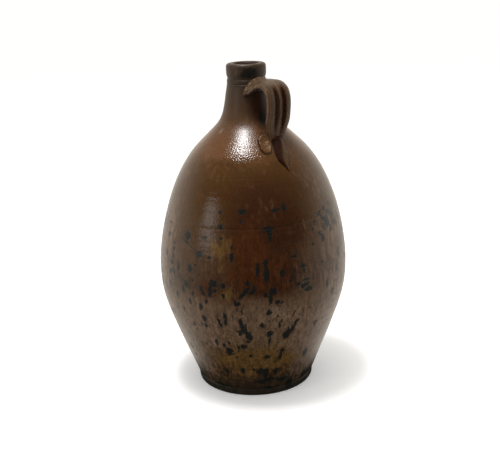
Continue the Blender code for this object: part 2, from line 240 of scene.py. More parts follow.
wall_foot = Vector((WALL_FOOT_RADIUS, FOOT_HEIGHT + FOOT_LINE_HEIGHT))
belly = Vector((BELLY_RADIUS, wall_foot.y + BELLY_RISE))
shoulder = Vector((SHOULDER_RADIUS, belly.y + SHOULDER_RISE))
neck_end = Vector((NECK_RADIUS, shoulder.y + NECK_RISE))
cordon_base = neck_end.y + NECK_LINE_HEIGHT
collar_base = cordon_base + CORDON_HEIGHT + GROOVE_HEIGHT
rim_height = collar_base + COLLAR_HEIGHT
girth_height = belly.y + GIRTH_JOINT_RISE
neck_joint_height = shoulder.y + NECK_JOINT_RISE


def outer_outline():
    up = Vector((0, 1))
    wall = cubic(
        wall_foot,
        wall_foot + tilt(-WALL_FOOT_ANGLE) * BELLY_RISE * WALL_FOOT_PULL,
        belly - up * BELLY_RISE * BELLY_LOWER_PULL,
        belly)
    dome = cubic(
        belly,
        belly + up * SHOULDER_RISE * BELLY_UPPER_PULL,
        shoulder - tilt(SHOULDER_ANGLE) * SHOULDER_RISE * SHOULDER_LOWER_PULL,
        shoulder)
    flare = cubic(
        shoulder,
        shoulder + tilt(SHOULDER_ANGLE) * NECK_RISE * SHOULDER_UPPER_PULL,
        neck_end - tilt(NECK_ANGLE) * NECK_RISE * NECK_PULL,
        neck_end)
    return wall + dome[1:] + flare[1:]


def inner_outline(outside):
    wall = []
    for before, here, after in zip(outside, outside[1:], outside[2:]):
        direction = (after - before).normalized()
        inside = here + Vector((-direction.y, direction.x)) * WALL
        if FLOOR + FLOOR_FILLET <= inside.y and here.y <= shoulder.y:
            wall.append(inside)
    wall_start = (wall[1] - wall[0]).normalized()
    floor_edge = Vector((wall[0].x - FLOOR_FILLET, FLOOR))
    fillet = cubic(
        floor_edge,
        floor_edge + Vector((FLOOR_FILLET * FILLET_PULL, 0)),
        wall[0] - wall_start * FLOOR_FILLET * FILLET_PULL,
        wall[0])
    bore_start = Vector((BORE_RADIUS, neck_end.y - BORE_DROP))
    wall_end = (wall[-1] - wall[-2]).normalized()
    rise = bore_start.y - wall[-1].y
    throat = cubic(
        wall[-1],
        wall[-1] + wall_end * rise * INNER_SHOULDER_PULL,
        bore_start - Vector((0, rise * BORE_PULL)),
        bore_start)
    return fillet + wall[1:] + throat[1:]


outer = outer_outline()
inner = inner_outline(outer)
outer_heights = np.array([point.y for point in outer])
outer_radii = np.array([point.x for point in outer])


def radius_at(curve, height):
    return float(np.interp(height, [point.y for point in curve], [point.x for point in curve]))


def evenly(curve, spacing):
    """The curve again with points at an even spacing along it."""
    lengths = [0]
    for here, following in zip(curve, curve[1:]):
        lengths.append(lengths[-1] + (following - here).length)
    count = max(2, round(lengths[-1] / spacing))
    targets = np.linspace(0, lengths[-1], count + 1)
    across = np.interp(targets, lengths, [point.x for point in curve])
    up = np.interp(targets, lengths, [point.y for point in curve])
    return [Vector((x, y)) for x, y in zip(across, up)]


def between(curve, low, high):
    """The part of a rising curve from the low height to the high one."""
    inside = [point for point in curve if low < point.y < high]
    return [Vector((radius_at(curve, low), low)), *inside, Vector((radius_at(curve, high), high))]


def softened(points, rounds=3):
    """A line with its corners worn round, and its two ends kept."""
    for _ in range(rounds):
        worn = [points[0]]
        for here, following in zip(points, points[1:]):
            worn += [here.lerp(following, 0.25), here.lerp(following, 0.75)]
        points = worn + [points[-1]]
    return points


def arc(centre, radius, start, end, steps=6):
    angles = [start + (end - start) * step / steps for step in range(steps + 1)]
    return [centre + Vector((math.cos(angle), math.sin(angle))) * radius for angle in angles]


def seat(height, gap, outside_radius):
    """The stepped joint at a height, from the inside of the wall to its outside."""
    middle = (radius_at(outer, height) + radius_at(inner, height)) / 2 - gap
    step = height - GALLERY_STEP
    return [
        Vector((radius_at(inner, step + gap), step + gap)),
        Vector((middle, step + gap)),
        Vector((middle, height + gap)),
        Vector((outside_radius, height + gap)),
    ]


# Clay tools
def drawn_line(name, profile):
    """A small plane merged to one corner, then drawn out from point to point."""
    deselect()
    start = profile[0]
    bpy.ops.mesh.primitive_plane_add(size=WALL, location=(start.x, 0, start.y))
    piece = bpy.context.object
    piece.name = piece.data.name = name
    bpy.ops.object.transform_apply(location=True, rotation=True, scale=True)
    bpy.ops.object.mode_set(mode="EDIT")
    bpy.ops.mesh.select_all(action="SELECT")
    bpy.ops.mesh.merge(type="CENTER")
    for here, following in zip(profile, profile[1:]):
        step = following - here
        bpy.ops.mesh.extrude_vertices_move(TRANSFORM_OT_translate={"value": (step.x, 0, step.y)})
    return piece


def turned(name, profile):
    """A profile line spun once round the axis into a closed skin."""
    piece = drawn_line(name, profile)
    bpy.ops.mesh.select_all(action="SELECT")
    bpy.ops.mesh.spin(steps=TURN_STEPS, angle=2 * math.pi, center=(0, 0, 0), axis=(0, 0, 1))
    bpy.ops.mesh.select_all(action="SELECT")
    bpy.ops.mesh.remove_doubles(threshold=MERGE)
    bpy.ops.mesh.normals_make_consistent(inside=False)
    bpy.ops.object.mode_set(mode="OBJECT")
    return piece


def pulled(name, rings):
    """A circle pulled out ring after ring, each ring pressed to its own section."""
    deselect()
    bpy.ops.mesh.primitive_circle_add(vertices=len(rings[0]), radius=STRAP_WIDTH / 2)
    piece = bpy.context.object
    piece.name = piece.data.name = name
    bpy.ops.object.mode_set(mode="EDIT")
    clay = bmesh.from_edit_mesh(piece.data)
    place = clay.verts.layers.int.new("place")
    clay.verts.ensure_lookup_table()
    for index, vertex in enumerate(clay.verts):
        vertex[place] = index
    bpy.ops.mesh.select_all(action="SELECT")
    press(piece, rings[0])
    bpy.ops.mesh.edge_face_add()
    for ring in rings[1:]:
        bpy.ops.mesh.extrude_region_move(TRANSFORM_OT_translate={"value": (0, 0, 0)})
        press(piece, ring)
    bpy.ops.mesh.select_all(action="SELECT")
    bpy.ops.mesh.normals_make_consistent(inside=False)
    bpy.ops.object.mode_set(mode="OBJECT")
    piece.data.attributes.remove(piece.data.attributes["place"])
    return piece


def press(piece, ring):
    """Moves the selected ring of vertices to the places of a section."""
    clay = bmesh.from_edit_mesh(piece.data)
    place = clay.verts.layers.int["place"]
    for vertex in clay.verts:
        if vertex.select:
            vertex.co = ring[vertex[place]]
    bmesh.update_edit_mesh(piece.data)


def read_places(piece):
    places = np.empty(len(piece.data.vertices) * 3)
    piece.data.vertices.foreach_get("co", places)
    return places.reshape(-1, 3)


def write_places(piece, places):
    piece.data.vertices.foreach_set("co", places.ravel())
    piece.data.update()


def smooth_shaded(piece, angle):
    deselect()
    piece.select_set(True)
    bpy.context.view_layer.objects.active = piece
    bpy.ops.object.shade_smooth_by_angle(angle=math.radians(angle))


# Unevenness that hands leave
FACING = math.radians(-38.5)
LEAN_HEIGHTS = (0, 0.05, 0.16, 0.22, 0.27, 0.31, 0.38)
LEAN_SHIFTS = (-0.0013, -0.0010, 0.0002, 0.0013, 0.0014, 0.0006, -0.0001)
ACROSS_VIEW = Vector((0.6225, 0.7826, 0))
TO_CAMERA = Vector((math.cos(FACING), math.sin(FACING), 0))
THROWING_SEED = 0.7
RIDGE_PITCHES = (0.0056, 0.0087, 0.0139)
RIDGE_DRAW = 0.00010
BELLY_RIDGE_DRAW = 0.00012
GIRTH_RIDGE_DRAW = 0.00008
DENT_DRAW = 0.00030
DENT_SIZE = 0.045
OVAL_DRAW = 0.00020
GIRTH_DRAW = 0.00040
GIRTH_WIDTH = 0.0012
GIRTH_FOLLOW_DRAW = 0.00012
GIRTH_FOLLOW_DROP = 0.0060
GIRTH_FOLLOW_WIDTH = 0.0034
GIRTH_POOL = 0.42
GIRTH_POOL_WIDTH = 0.0008
INSIDE_DRAW = 0.00030
RIM_DIP = 0.00035
RIM_SWAY = 0.006
NECK_EASE = (
    (neck_end.y - 0.024, 0), (neck_end.y - 0.010, 0.0005),
    (neck_end.y, 0.0014), (neck_end.y + 0.0014, 0.0002))


def wobble(value, seed):
    """Three slow waves of one value, between -1 and 1."""
    slow = np.sin(value + seed) + 0.6 * np.sin(2 * value + 2.3 * seed)
    return (slow + 0.3 * np.sin(3 * value + 4.1 * seed)) / 1.9


def throwing(angle, height, seed):
    """Spiral ridges that the thrower's fingers leave, between 0 and 1."""
    fine, middle, broad = (height * 2 * math.pi / pitch for pitch in RIDGE_PITCHES)
    ridges = np.sin(fine + angle + seed)
    ridges = ridges + 0.8 * np.sin(middle - 2 * angle + 1.7 * seed)
    ridges = ridges + 0.7 * np.sin(broad + angle + 0.6 * wobble(angle, seed))
    return 0.5 + ridges / 5


def bump_at(height, middle, width):
    return np.exp(-((height - middle) / width) ** 2)


def dents(places, size, seed):
    offset = Vector((seed, 2 * seed, 3 * seed))
    return np.array([0.5 + 0.5 * noise.noise(Vector(place) / size + offset) for place in places])


def thrown_by_hand(piece):
    """Draws the turned skin in by fractions of a millimetre, as a hand leaves it."""
    places = read_places(piece)
    radius = np.hypot(places[:, 0], places[:, 1])
    angle = np.arctan2(places[:, 1], places[:, 0])
    height = places[:, 2]
    wall = np.interp(height, outer_heights, outer_radii)
    outside = np.clip(1 - (wall - radius) / 0.0030, 0, 1)
    low = np.clip((height - wall_foot.y) / 0.03, 0, 1)
    high = np.clip((neck_end.y - height) / 0.03, 0, 1)
    ridge = RIDGE_DRAW + BELLY_RIDGE_DRAW * bump_at(height, 0.105, 0.060)
    ridge += GIRTH_RIDGE_DRAW * bump_at(height, 0.215, 0.02)
    draw = throwing(angle, height, THROWING_SEED) * ridge * low * high
    draw += DENT_DRAW * dents(places, DENT_SIZE, THROWING_SEED) * low * high
    draw += OVAL_DRAW * (0.5 + 0.5 * np.cos(2 * angle + 0.9)) * high
    girth = bump_at(height, girth_height, GIRTH_WIDTH)
    draw += GIRTH_DRAW * girth * (0.7 + 0.3 * wobble(angle, 3.1))
    follow = bump_at(height, girth_height - GIRTH_FOLLOW_DROP, GIRTH_FOLLOW_WIDTH)
    draw += GIRTH_FOLLOW_DRAW * follow * (0.6 + 0.4 * wobble(angle, 1.3))
    inside_draw = -INSIDE_DRAW * throwing(angle, height * 0.6, THROWING_SEED + 2)
    draw = np.where(outside > 0.4, draw, inside_draw * (radius > BORE_RADIUS + 0.004))
    keep = np.clip((radius - 0.004) / 0.01, 0, 1)
    share = 1 - draw * keep / np.maximum(radius, 0.004)
    places[:, 0] *= share
    places[:, 1] *= share
    write_places(piece, places)


def mouth_by_hand(piece):
    """The neck eases in under the mouth, and the rim dips and swells a little all round."""
    places = read_places(piece)
    angle = np.arctan2(places[:, 1], places[:, 0])
    radius = np.hypot(places[:, 0], places[:, 1])
    ease = np.interp(places[:, 2], *zip(*NECK_EASE)) * (radius > BORE_RADIUS + WALL / 2)
    places[:, 0] *= 1 - ease / radius
    places[:, 1] *= 1 - ease / radius
    high = np.clip((places[:, 2] - cordon_base) / COLLAR_HEIGHT, 0, 1)
    places[:, 2] -= RIM_DIP * (0.5 + 0.5 * wobble(angle, 0.4)) * high
    share = 1 - RIM_SWAY * (0.5 + 0.5 * wobble(angle, 2.1)) * high
    places[:, 0] *= share
    places[:, 1] *= share
    write_places(piece, places)


def leaned(places):
    """The bottle bows by about a millimetre: the shoulder to one side, the foot to the other."""
    shift = np.interp(places[:, 2], LEAN_HEIGHTS, LEAN_SHIFTS)
    return places + shift[:, None] * np.array(ACROSS_VIEW)


# Thrown sections
def foot_line():
    line_middle = FOOT_HEIGHT + FOOT_LINE_HEIGHT / 2
    edge_centre = Vector((FOOT_RADIUS - FOOT_EDGE, FOOT_EDGE))
    return softened([
        Vector((WALL_FOOT_RADIUS, wall_foot.y)),
        Vector((FOOT_RADIUS - FOOT_LINE_DEPTH, line_middle)),
        Vector((FOOT_RADIUS, FOOT_HEIGHT)),
        *arc(edge_centre, FOOT_EDGE, 0, -math.pi / 2, 3),
        Vector((FOOT_RADIUS - 2 * FOOT_EDGE, 0)),
    ], 2)


def lower_body():
    wall = evenly(between(outer, wall_foot.y, girth_height), WALL_SPACING)
    inside = evenly(between(inner, FLOOR, girth_height - GALLERY_STEP), 0.0055)
    inside_floor = [Vector((radius, FLOOR)) for radius in np.linspace(0, inside[0].x, 8)[:-1]]
    under = [Vector((radius, 0)) for radius in np.linspace(FOOT_RADIUS - 2 * FOOT_EDGE, 0, 30)]
    profile = [
        *inside_floor,
        *inside[:-1],
        *seat(girth_height, 0, wall[-1].x),
        *reversed(wall[:-1]),
        *foot_line()[1:],
        *under[1:],
    ]
    piece = turned("glazed_lower_body", profile)
    thrown_by_hand(piece)
    return piece


def upper_body():
    wall = evenly(between(outer, girth_height + SEAM, neck_joint_height), UPPER_WALL_SPACING)
    inside = between(inner, girth_height - GALLERY_STEP + SEAM, neck_joint_height - GALLERY_STEP)
    inside = evenly(inside, 0.005)
    profile = [
        *seat(neck_joint_height, 0, wall[-1].x),
        *reversed(wall[:-1]),
        *reversed(seat(girth_height, SEAM, wall[0].x)[:-1]),
        *inside[1:],
    ]
    piece = turned("glazed_upper_body", profile)
    thrown_by_hand(piece)
    return piece


def mouth_line():
    """The outside of the mouth from the rim down to the neck."""
    outer_round = Vector((COLLAR_RADIUS - LIP_OUTER_ROUND, rim_height - LIP_OUTER_ROUND))
    cordon_top = cordon_base + CORDON_HEIGHT
    groove_radius = COLLAR_RADIUS - GROOVE_DEPTH
    return softened([
        *arc(outer_round, LIP_OUTER_ROUND, math.pi / 2, 0, 5),
        Vector((COLLAR_RADIUS, collar_base + COLLAR_LOWER_ROUND)),
        Vector((
            COLLAR_RADIUS - GROOVE_DEPTH * COLLAR_ROUND, collar_base + COLLAR_LOWER_ROUND * COLLAR_ROUND)),
        Vector((groove_radius, collar_base)),
        Vector((groove_radius, cordon_top + GROOVE_HEIGHT / 2)),
        Vector((CORDON_RADIUS - CORDON_EDGE, cordon_top)),
        Vector((CORDON_RADIUS, cordon_top - CORDON_EDGE)),
        Vector((CORDON_RADIUS, cordon_base + CORDON_EDGE)),
        Vector((CORDON_RADIUS - NECK_LINE_DEPTH, cordon_base)),
        Vector((NECK_RADIUS - NECK_LINE_DEPTH, neck_end.y + NECK_LINE_HEIGHT / 2)),
        Vector((NECK_RADIUS, neck_end.y)),
    ], 3)


def neck():
    wall = evenly(between(outer, neck_joint_height + SEAM, neck_end.y), NECK_WALL_SPACING)
    inside = between(inner, neck_joint_height - GALLERY_STEP + SEAM, neck_end.y - BORE_DROP)
    inside = evenly(inside, 0.002)
    inner_round = Vector((BORE_RADIUS + LIP_INNER_ROUND, rim_height - LIP_INNER_ROUND))
    lip = arc(inner_round, LIP_INNER_ROUND, math.pi, math.pi / 2, 8)
    bore = evenly([inside[-1], lip[0]], 0.0015)
    profile = [
        *lip,
        *mouth_line(),
        *reversed(wall[:-1]),
        *reversed(seat(neck_joint_height, SEAM, wall[0].x)[:-1]),
        *inside[1:],
        *bore[1:],
    ]
    piece = turned("glazed_neck", profile)
    thrown_by_hand(piece)
    mouth_by_hand(piece)
    return piece


# Strap handle
def strap_line():
    root = Vector((NECK_RADIUS - EMBED, neck_end.y + ROOT_RISE))
    reach = NECK_RADIUS + FINGER_GAP + STRAP_THICKNESS / 2
    outermost = Vector((reach, root.y - OUTERMOST_DROP))
    foot_height = shoulder.y + STRAP_FOOT_RISE
    inward = Vector((-math.sin(SHOULDER_ANGLE), -math.cos(SHOULDER_ANGLE)))
    foot = Vector((radius_at(outer, foot_height), foot_height)) + inward * EMBED
    fall = outermost.y - foot.y
    over = cubic(
        root,
        root + Vector(((outermost.x - root.x) * CREST_SHARE, CREST_PULL)),
        outermost + Vector((0, OUTERMOST_DROP * BEND_SHARE)),
        outermost)
    down = cubic(
        outermost,
        outermost - Vector((0, fall * FALL_UPPER)),
        foot + Vector((0, fall * FALL_LOWER)),
        foot)
    return over + down[1:]


def rib_drop(s):
    """How far the outside of the strap lies below its ribs at a share s of its half width."""
    groove = math.exp(-((abs(s) - GROOVE_PLACE) / GROOVE_WIDTH) ** 4)
    edge = GROOVE_EDGE * smooth((abs(s) - 0.78) / 0.22)
    return max(groove, edge)


def strap_section(width, thickness, depth):
    """Across, outward and hollow values round the strap: ribbed outside, plain inside."""
    places = []
    for index in range(STRAP_POINTS):
        angle = 2 * math.pi * index / STRAP_POINTS
        s = math.copysign(abs(math.cos(angle)) ** SECTION_SQUARENESS, math.cos(angle))
        out = math.copysign(abs(math.sin(angle)) ** SECTION_SQUARENESS, math.sin(angle))
        drop = rib_drop(s) if out > 0 else 0
        dish = UNDERSIDE_DISH * (1 - s * s) if out < 0 else 0
        lift = out * thickness / 2 * (1 - dish) - depth * drop * max(out, 0)
        places.append((s, s * width / 2, lift, drop))
    return places


def strap_rings():
    line = evenly(strap_line(), STRAP_LINE_SPACING)
    rings = []
    hollows = []
    shares = []
    for station in range(STRAP_STATIONS + 1):
        t = station / STRAP_STATIONS
        index = min(round(t * (len(line) - 1)), len(line) - 2)
        before = line[max(index - 6, 0)]
        after = line[min(index + 6, len(line) - 1)]
        direction = (after - before).normalized()
        outward = Vector((-direction.y, direction.x))
        width = along_table(WIDTH_PLACES, (
            ROOT_WIDTH, ROOT_WIDTH, STRAP_WIDTH, STRAP_WIDTH, STRAP_FOOT_WIDTH, STRAP_FOOT_WIDTH), t)
        thickness = along_table(THICKNESS_PLACES, (
            ROOT_THICKNESS, ROOT_THICKNESS, STRAP_THICKNESS, STRAP_THICKNESS, STRAP_FOOT_THICKNESS), t)
        depth = along_table(RIB_PLACES, (
            0, 0, RIB_DEPTH, RIB_DEPTH, RIB_DEPTH * RIB_FOOT, RIB_DEPTH * RIB_FOOT), t)
        flare = thickness - STRAP_THICKNESS
        centre = line[index] - outward * flare / 2
        at_root = 1 - smooth(t / ROOT_REACH)
        ring = []
        for s, across, out, drop in strap_section(width, thickness, depth):
            place = centre + outward * out
            narrow = 1 - ROOT_TAPER * at_root * smooth(0.5 + out / thickness)
            ring.append(Vector((place.x, across * narrow, place.y - ROOT_SAG * at_root * s * s)))
            # The rib grooves darken as hollows, partly glaze pooling there and partly painted shade; the
            # underside near the root gets painted shade
            hollows.append(max(drop * depth / RIB_DEPTH, ROOT_SHADE * at_root if out < 0 else 0))
            shares.append(s)
        rings.append(ring)
    return rings, hollows, shares


def body_gap(place):
    """Distance of a place from the outside of the neck and shoulder, and the way out."""
    radius = math.hypot(place.x, place.y)
    wall = float(np.interp(place.z, outer_heights, outer_radii))
    below = float(np.interp(place.z - 0.001, outer_heights, outer_radii))
    slope = math.atan2(below - wall, 0.001)
    return (radius - wall) * math.cos(slope)


def filleted(rings, fillet_at):
    """Sections that swell where they meet the body, as clay smoothed by a finger."""
    swollen = []
    for number, ring in enumerate(rings):
        fillet = fillet_at(number / (len(rings) - 1))
        count = len(ring)
        direction = (ring[count // 4] - ring[3 * count // 4]).normalized()
        side = Vector((0, 1, 0))
        moved = []
        for index, place in enumerate(ring):
            gap = body_gap(place)
            near = min(max(1 - gap / fillet, 0), 1)
            grow = fillet * (1 - math.sqrt(max(1 - near * near, 0)))
            angle = 2 * math.pi * index / count
            moved.append(place + (side * math.cos(angle) + direction * math.sin(angle)) * grow)
        swollen.append(moved)
    return swollen


def handle():
    rings, hollows, shares = strap_rings()
    rings = filleted(rings, lambda t: ROOT_FILLET if t < 0.5 else FOOT_FILLET)
    piece = pulled("ribbed_strap", rings)
    places = read_places(piece)
    uneven = dents(places, STRAP_DENT_SIZE, 5.0) - 0.5
    places[:, 1] += STRAP_DENT_ACROSS * uneven
    places[:, 2] += STRAP_DENT_UP * uneven
    write_places(piece, places)
    return piece, np.array(hollows), np.array(shares)


# Tail and pad on the shoulder
def shoulder_places():
    foot_height = shoulder.y + STRAP_FOOT_RISE
    falling = [point for point in reversed(outer) if point.y > belly.y]
    places = []
    length = 0
    for here, following in zip(falling, falling[1:]):
        direction = (following - here).normalized()
        places.append((length, here, Vector((-direction.y, direction.x))))
        length += (following - here).length
    start = min(places, key=lambda place: abs(place[1].y - foot_height))[0]
    return [(place - start, point, normal) for place, point, normal in places]


shoulder_way = shoulder_places()
way_lengths = np.array([place for place, _, _ in shoulder_way])


def on_shoulder(across, along, lift):
    """A point lifted off the shoulder, across from the handle's plane and along from its foot."""
    index = int(np.searchsorted(way_lengths, along)) - 1
    index = min(max(index, 0), len(shoulder_way) - 2)
    length0, point0, normal0 = shoulder_way[index]
    length1, point1, normal1 = shoulder_way[index + 1]
    part = (along - length0) / (length1 - length0)
    point = point0.lerp(point1, part)
    normal = normal0.lerp(normal1, part).normalized()
    turn = across / point.x
    place = point + normal * lift
    return Vector((place.x * math.cos(turn), place.x * math.sin(turn), place.y))


def tail():
    table = softened([Vector(pair) for pair in (*TAIL_SECTION, TAIL_SECTION[0])], 2)
    section = evenly(table, sum((b - a).length for a, b in zip(table, table[1:])) / TAIL_POINTS)[:-1]
    rings, crevice_shade, shares, reddened = [], [], [], []
    for station in range(TAIL_STATIONS + 1):
        t = station / TAIL_STATIONS
        red_edge = TAIL_RED_TOP + (TAIL_RED_TIP - TAIL_RED_TOP) * smooth(t)
        along = -TAIL_THICKNESS + t * (TAIL_LENGTH + TAIL_THICKNESS)
        half = along_table(TAIL_WIDTH_PLACES, (
            TAIL_TOP_WIDTH, TAIL_WIDTH, TAIL_WIDTH * TAIL_LOWER_WIDTH, TAIL_TIP_WIDTH), t) / 2
        thickness = along_table(
            TAIL_THICKNESS_PLACES, (TAIL_THICKNESS, TAIL_THICKNESS, TAIL_TIP_THICKNESS), t)
        swing = -TAIL_SWING * math.sin(t * math.pi / 2)
        ring = []
        for share in section:
            lift = thickness * share.y if share.y > 0 else TAIL_THICKNESS * share.y
            ring.append(on_shoulder(swing + half * share.x, along, lift))
            shares.append(share.x)
            # Painted shade along the left edge of the leaf
            crevice_shade.append((CREVICE_SHADE_START - share.x) / CREVICE_SHADE_EDGE)
            reddened.append((red_edge - share.x) / TAIL_RED_EDGE)
        rings.append(ring)
    crevice_shade, reddened = (np.clip(values, 0, 1) for values in (crevice_shade, reddened))
    return pulled("leaf_tail", rings), crevice_shade, np.array(shares), reddened


def pad_lift(radius, angle):
    """Height of the pad at a share of its radius: a sunk edge, a rim and a thumbed hollow."""
    rim = 0.26 + 0.30 * smooth(0.5 + 0.5 * math.sin(angle - 0.3)) + 0.08 * math.sin(3 * angle + 1)
    if radius > PAD_RIM:
        away = (radius - PAD_RIM) / (1 - PAD_RIM)
        return rim * (1 - away**2) - 0.40 * away**3
    return rim * (0.10 + 0.90 * smooth(radius / PAD_RIM) ** 1.4) + 0.10 * math.sin(5 * radius + angle)


def pad():
    radii = [1, 1, *np.linspace(1, 0.03, PAD_RINGS)[1:]]
    rings = []
    edge_shade = []
    for number, share in enumerate(radii):
        ring = []
        for index in range(PAD_POINTS):
            angle = 2 * math.pi * index / PAD_POINTS
            uneven = share * (1 - 0.07 * (1 + math.sin(2 * angle + 0.8)) - 0.04 * (1 + math.sin(5 * angle)))
            across = math.cos(angle) * PAD_WIDTH / 2 * uneven
            along = math.sin(angle) * PAD_LENGTH / 2 * uneven
            lift = -1 if number == 0 else pad_lift(share, angle)
            # Painted shade round the pad's edge, stronger on one side
            edge = smooth((share - PAD_SHADE_START) / PAD_SHADE_EDGE)
            edge_shade.append((0.62 + 0.30 * math.sin(angle - 2.6)) * edge)
            turned_across = across * math.cos(PAD_TURN) - along * math.sin(PAD_TURN)
            turned_along = across * math.sin(PAD_TURN) + along * math.cos(PAD_TURN)
            ring.append(on_shoulder(
                turned_across - PAD_ACROSS, turned_along + PAD_ALONG, PAD_THICKNESS * lift))
        rings.append(ring)
    return pulled("thumb_pad", rings), np.array(edge_shade)


# Glaze painted on the clay
# Zones by kind: degrees to the right of the side that faces the camera, height,
# half width along the wall, half height, strength
ZONES = {
    "rust": (
        (0, 0.170, 0.030, 0.026, 1.0), (-3, 0.197, 0.012, 0.022, 0.7), (-27, 0.146, 0.014, 0.010, 0.7),
        (20, 0.152, 0.008, 0.006, 0.4), (14, 0.036, 0.018, 0.007, 0.6), (110, 0.170, 0.030, 0.040, 0.8),
        (-150, 0.160, 0.040, 0.022, 0.8),
    ),
    "ochre": (
        (-18, 0.144, 0.020, 0.007, 0.55), (-21, 0.190, 0.013, 0.012, 0.6), (-20, 0.170, 0.004, 0.005, 0.8),
        (-5, 0.054, 0.038, 0.017, 1.0), (24, 0.046, 0.025, 0.012, 0.6), (135, 0.180, 0.025, 0.020, 0.8),
        (-130, 0.150, 0.030, 0.016, 0.8), (170, 0.060, 0.045, 0.022, 0.9),
    ),
    "mauve": (
        (58, 0.185, 0.030, 0.055, 0.55), (-68, 0.175, 0.028, 0.060, 0.6), (-28, 0.083, 0.010, 0.014, 0.9),
        (-40, 0.120, 0.012, 0.012, 0.8), (-32, 0.105, 0.016, 0.020, 0.6), (34, 0.078, 0.018, 0.024, 0.8),
        (42, 0.052, 0.020, 0.028, 1.0), (-50, 0.048, 0.020, 0.028, 0.5), (30, 0.150, 0.010, 0.012, 0.5),
        (12, 0.118, 0.020, 0.010, 0.7), (60, 0.100, 0.030, 0.036, 0.9), (-80, 0.100, 0.030, 0.036, 0.9),
        (110, 0.095, 0.040, 0.026, 0.9), (160, 0.110, 0.040, 0.020, 0.9), (-120, 0.095, 0.040, 0.026, 0.9),
        (150, 0.220, 0.040, 0.040, 0.7), (-51, 0.308, 0.0022, 0.0022, 1.0),
    ),
    "dusk": (
        (9, 0.217, 0.040, 0.040, 1.0), (16, 0.166, 0.016, 0.016, 0.8), (2, 0.147, 0.030, 0.008, 0.7),
        # The zone at 26 degrees and 0.334 is painted shade on the neck under the strap's arch
        (26, 0.334, 0.012, 0.020, 0.9), (-150, 0.205, 0.045, 0.040, 0.9), (-95, 0.225, 0.030, 0.030, 0.6),
    ),
}

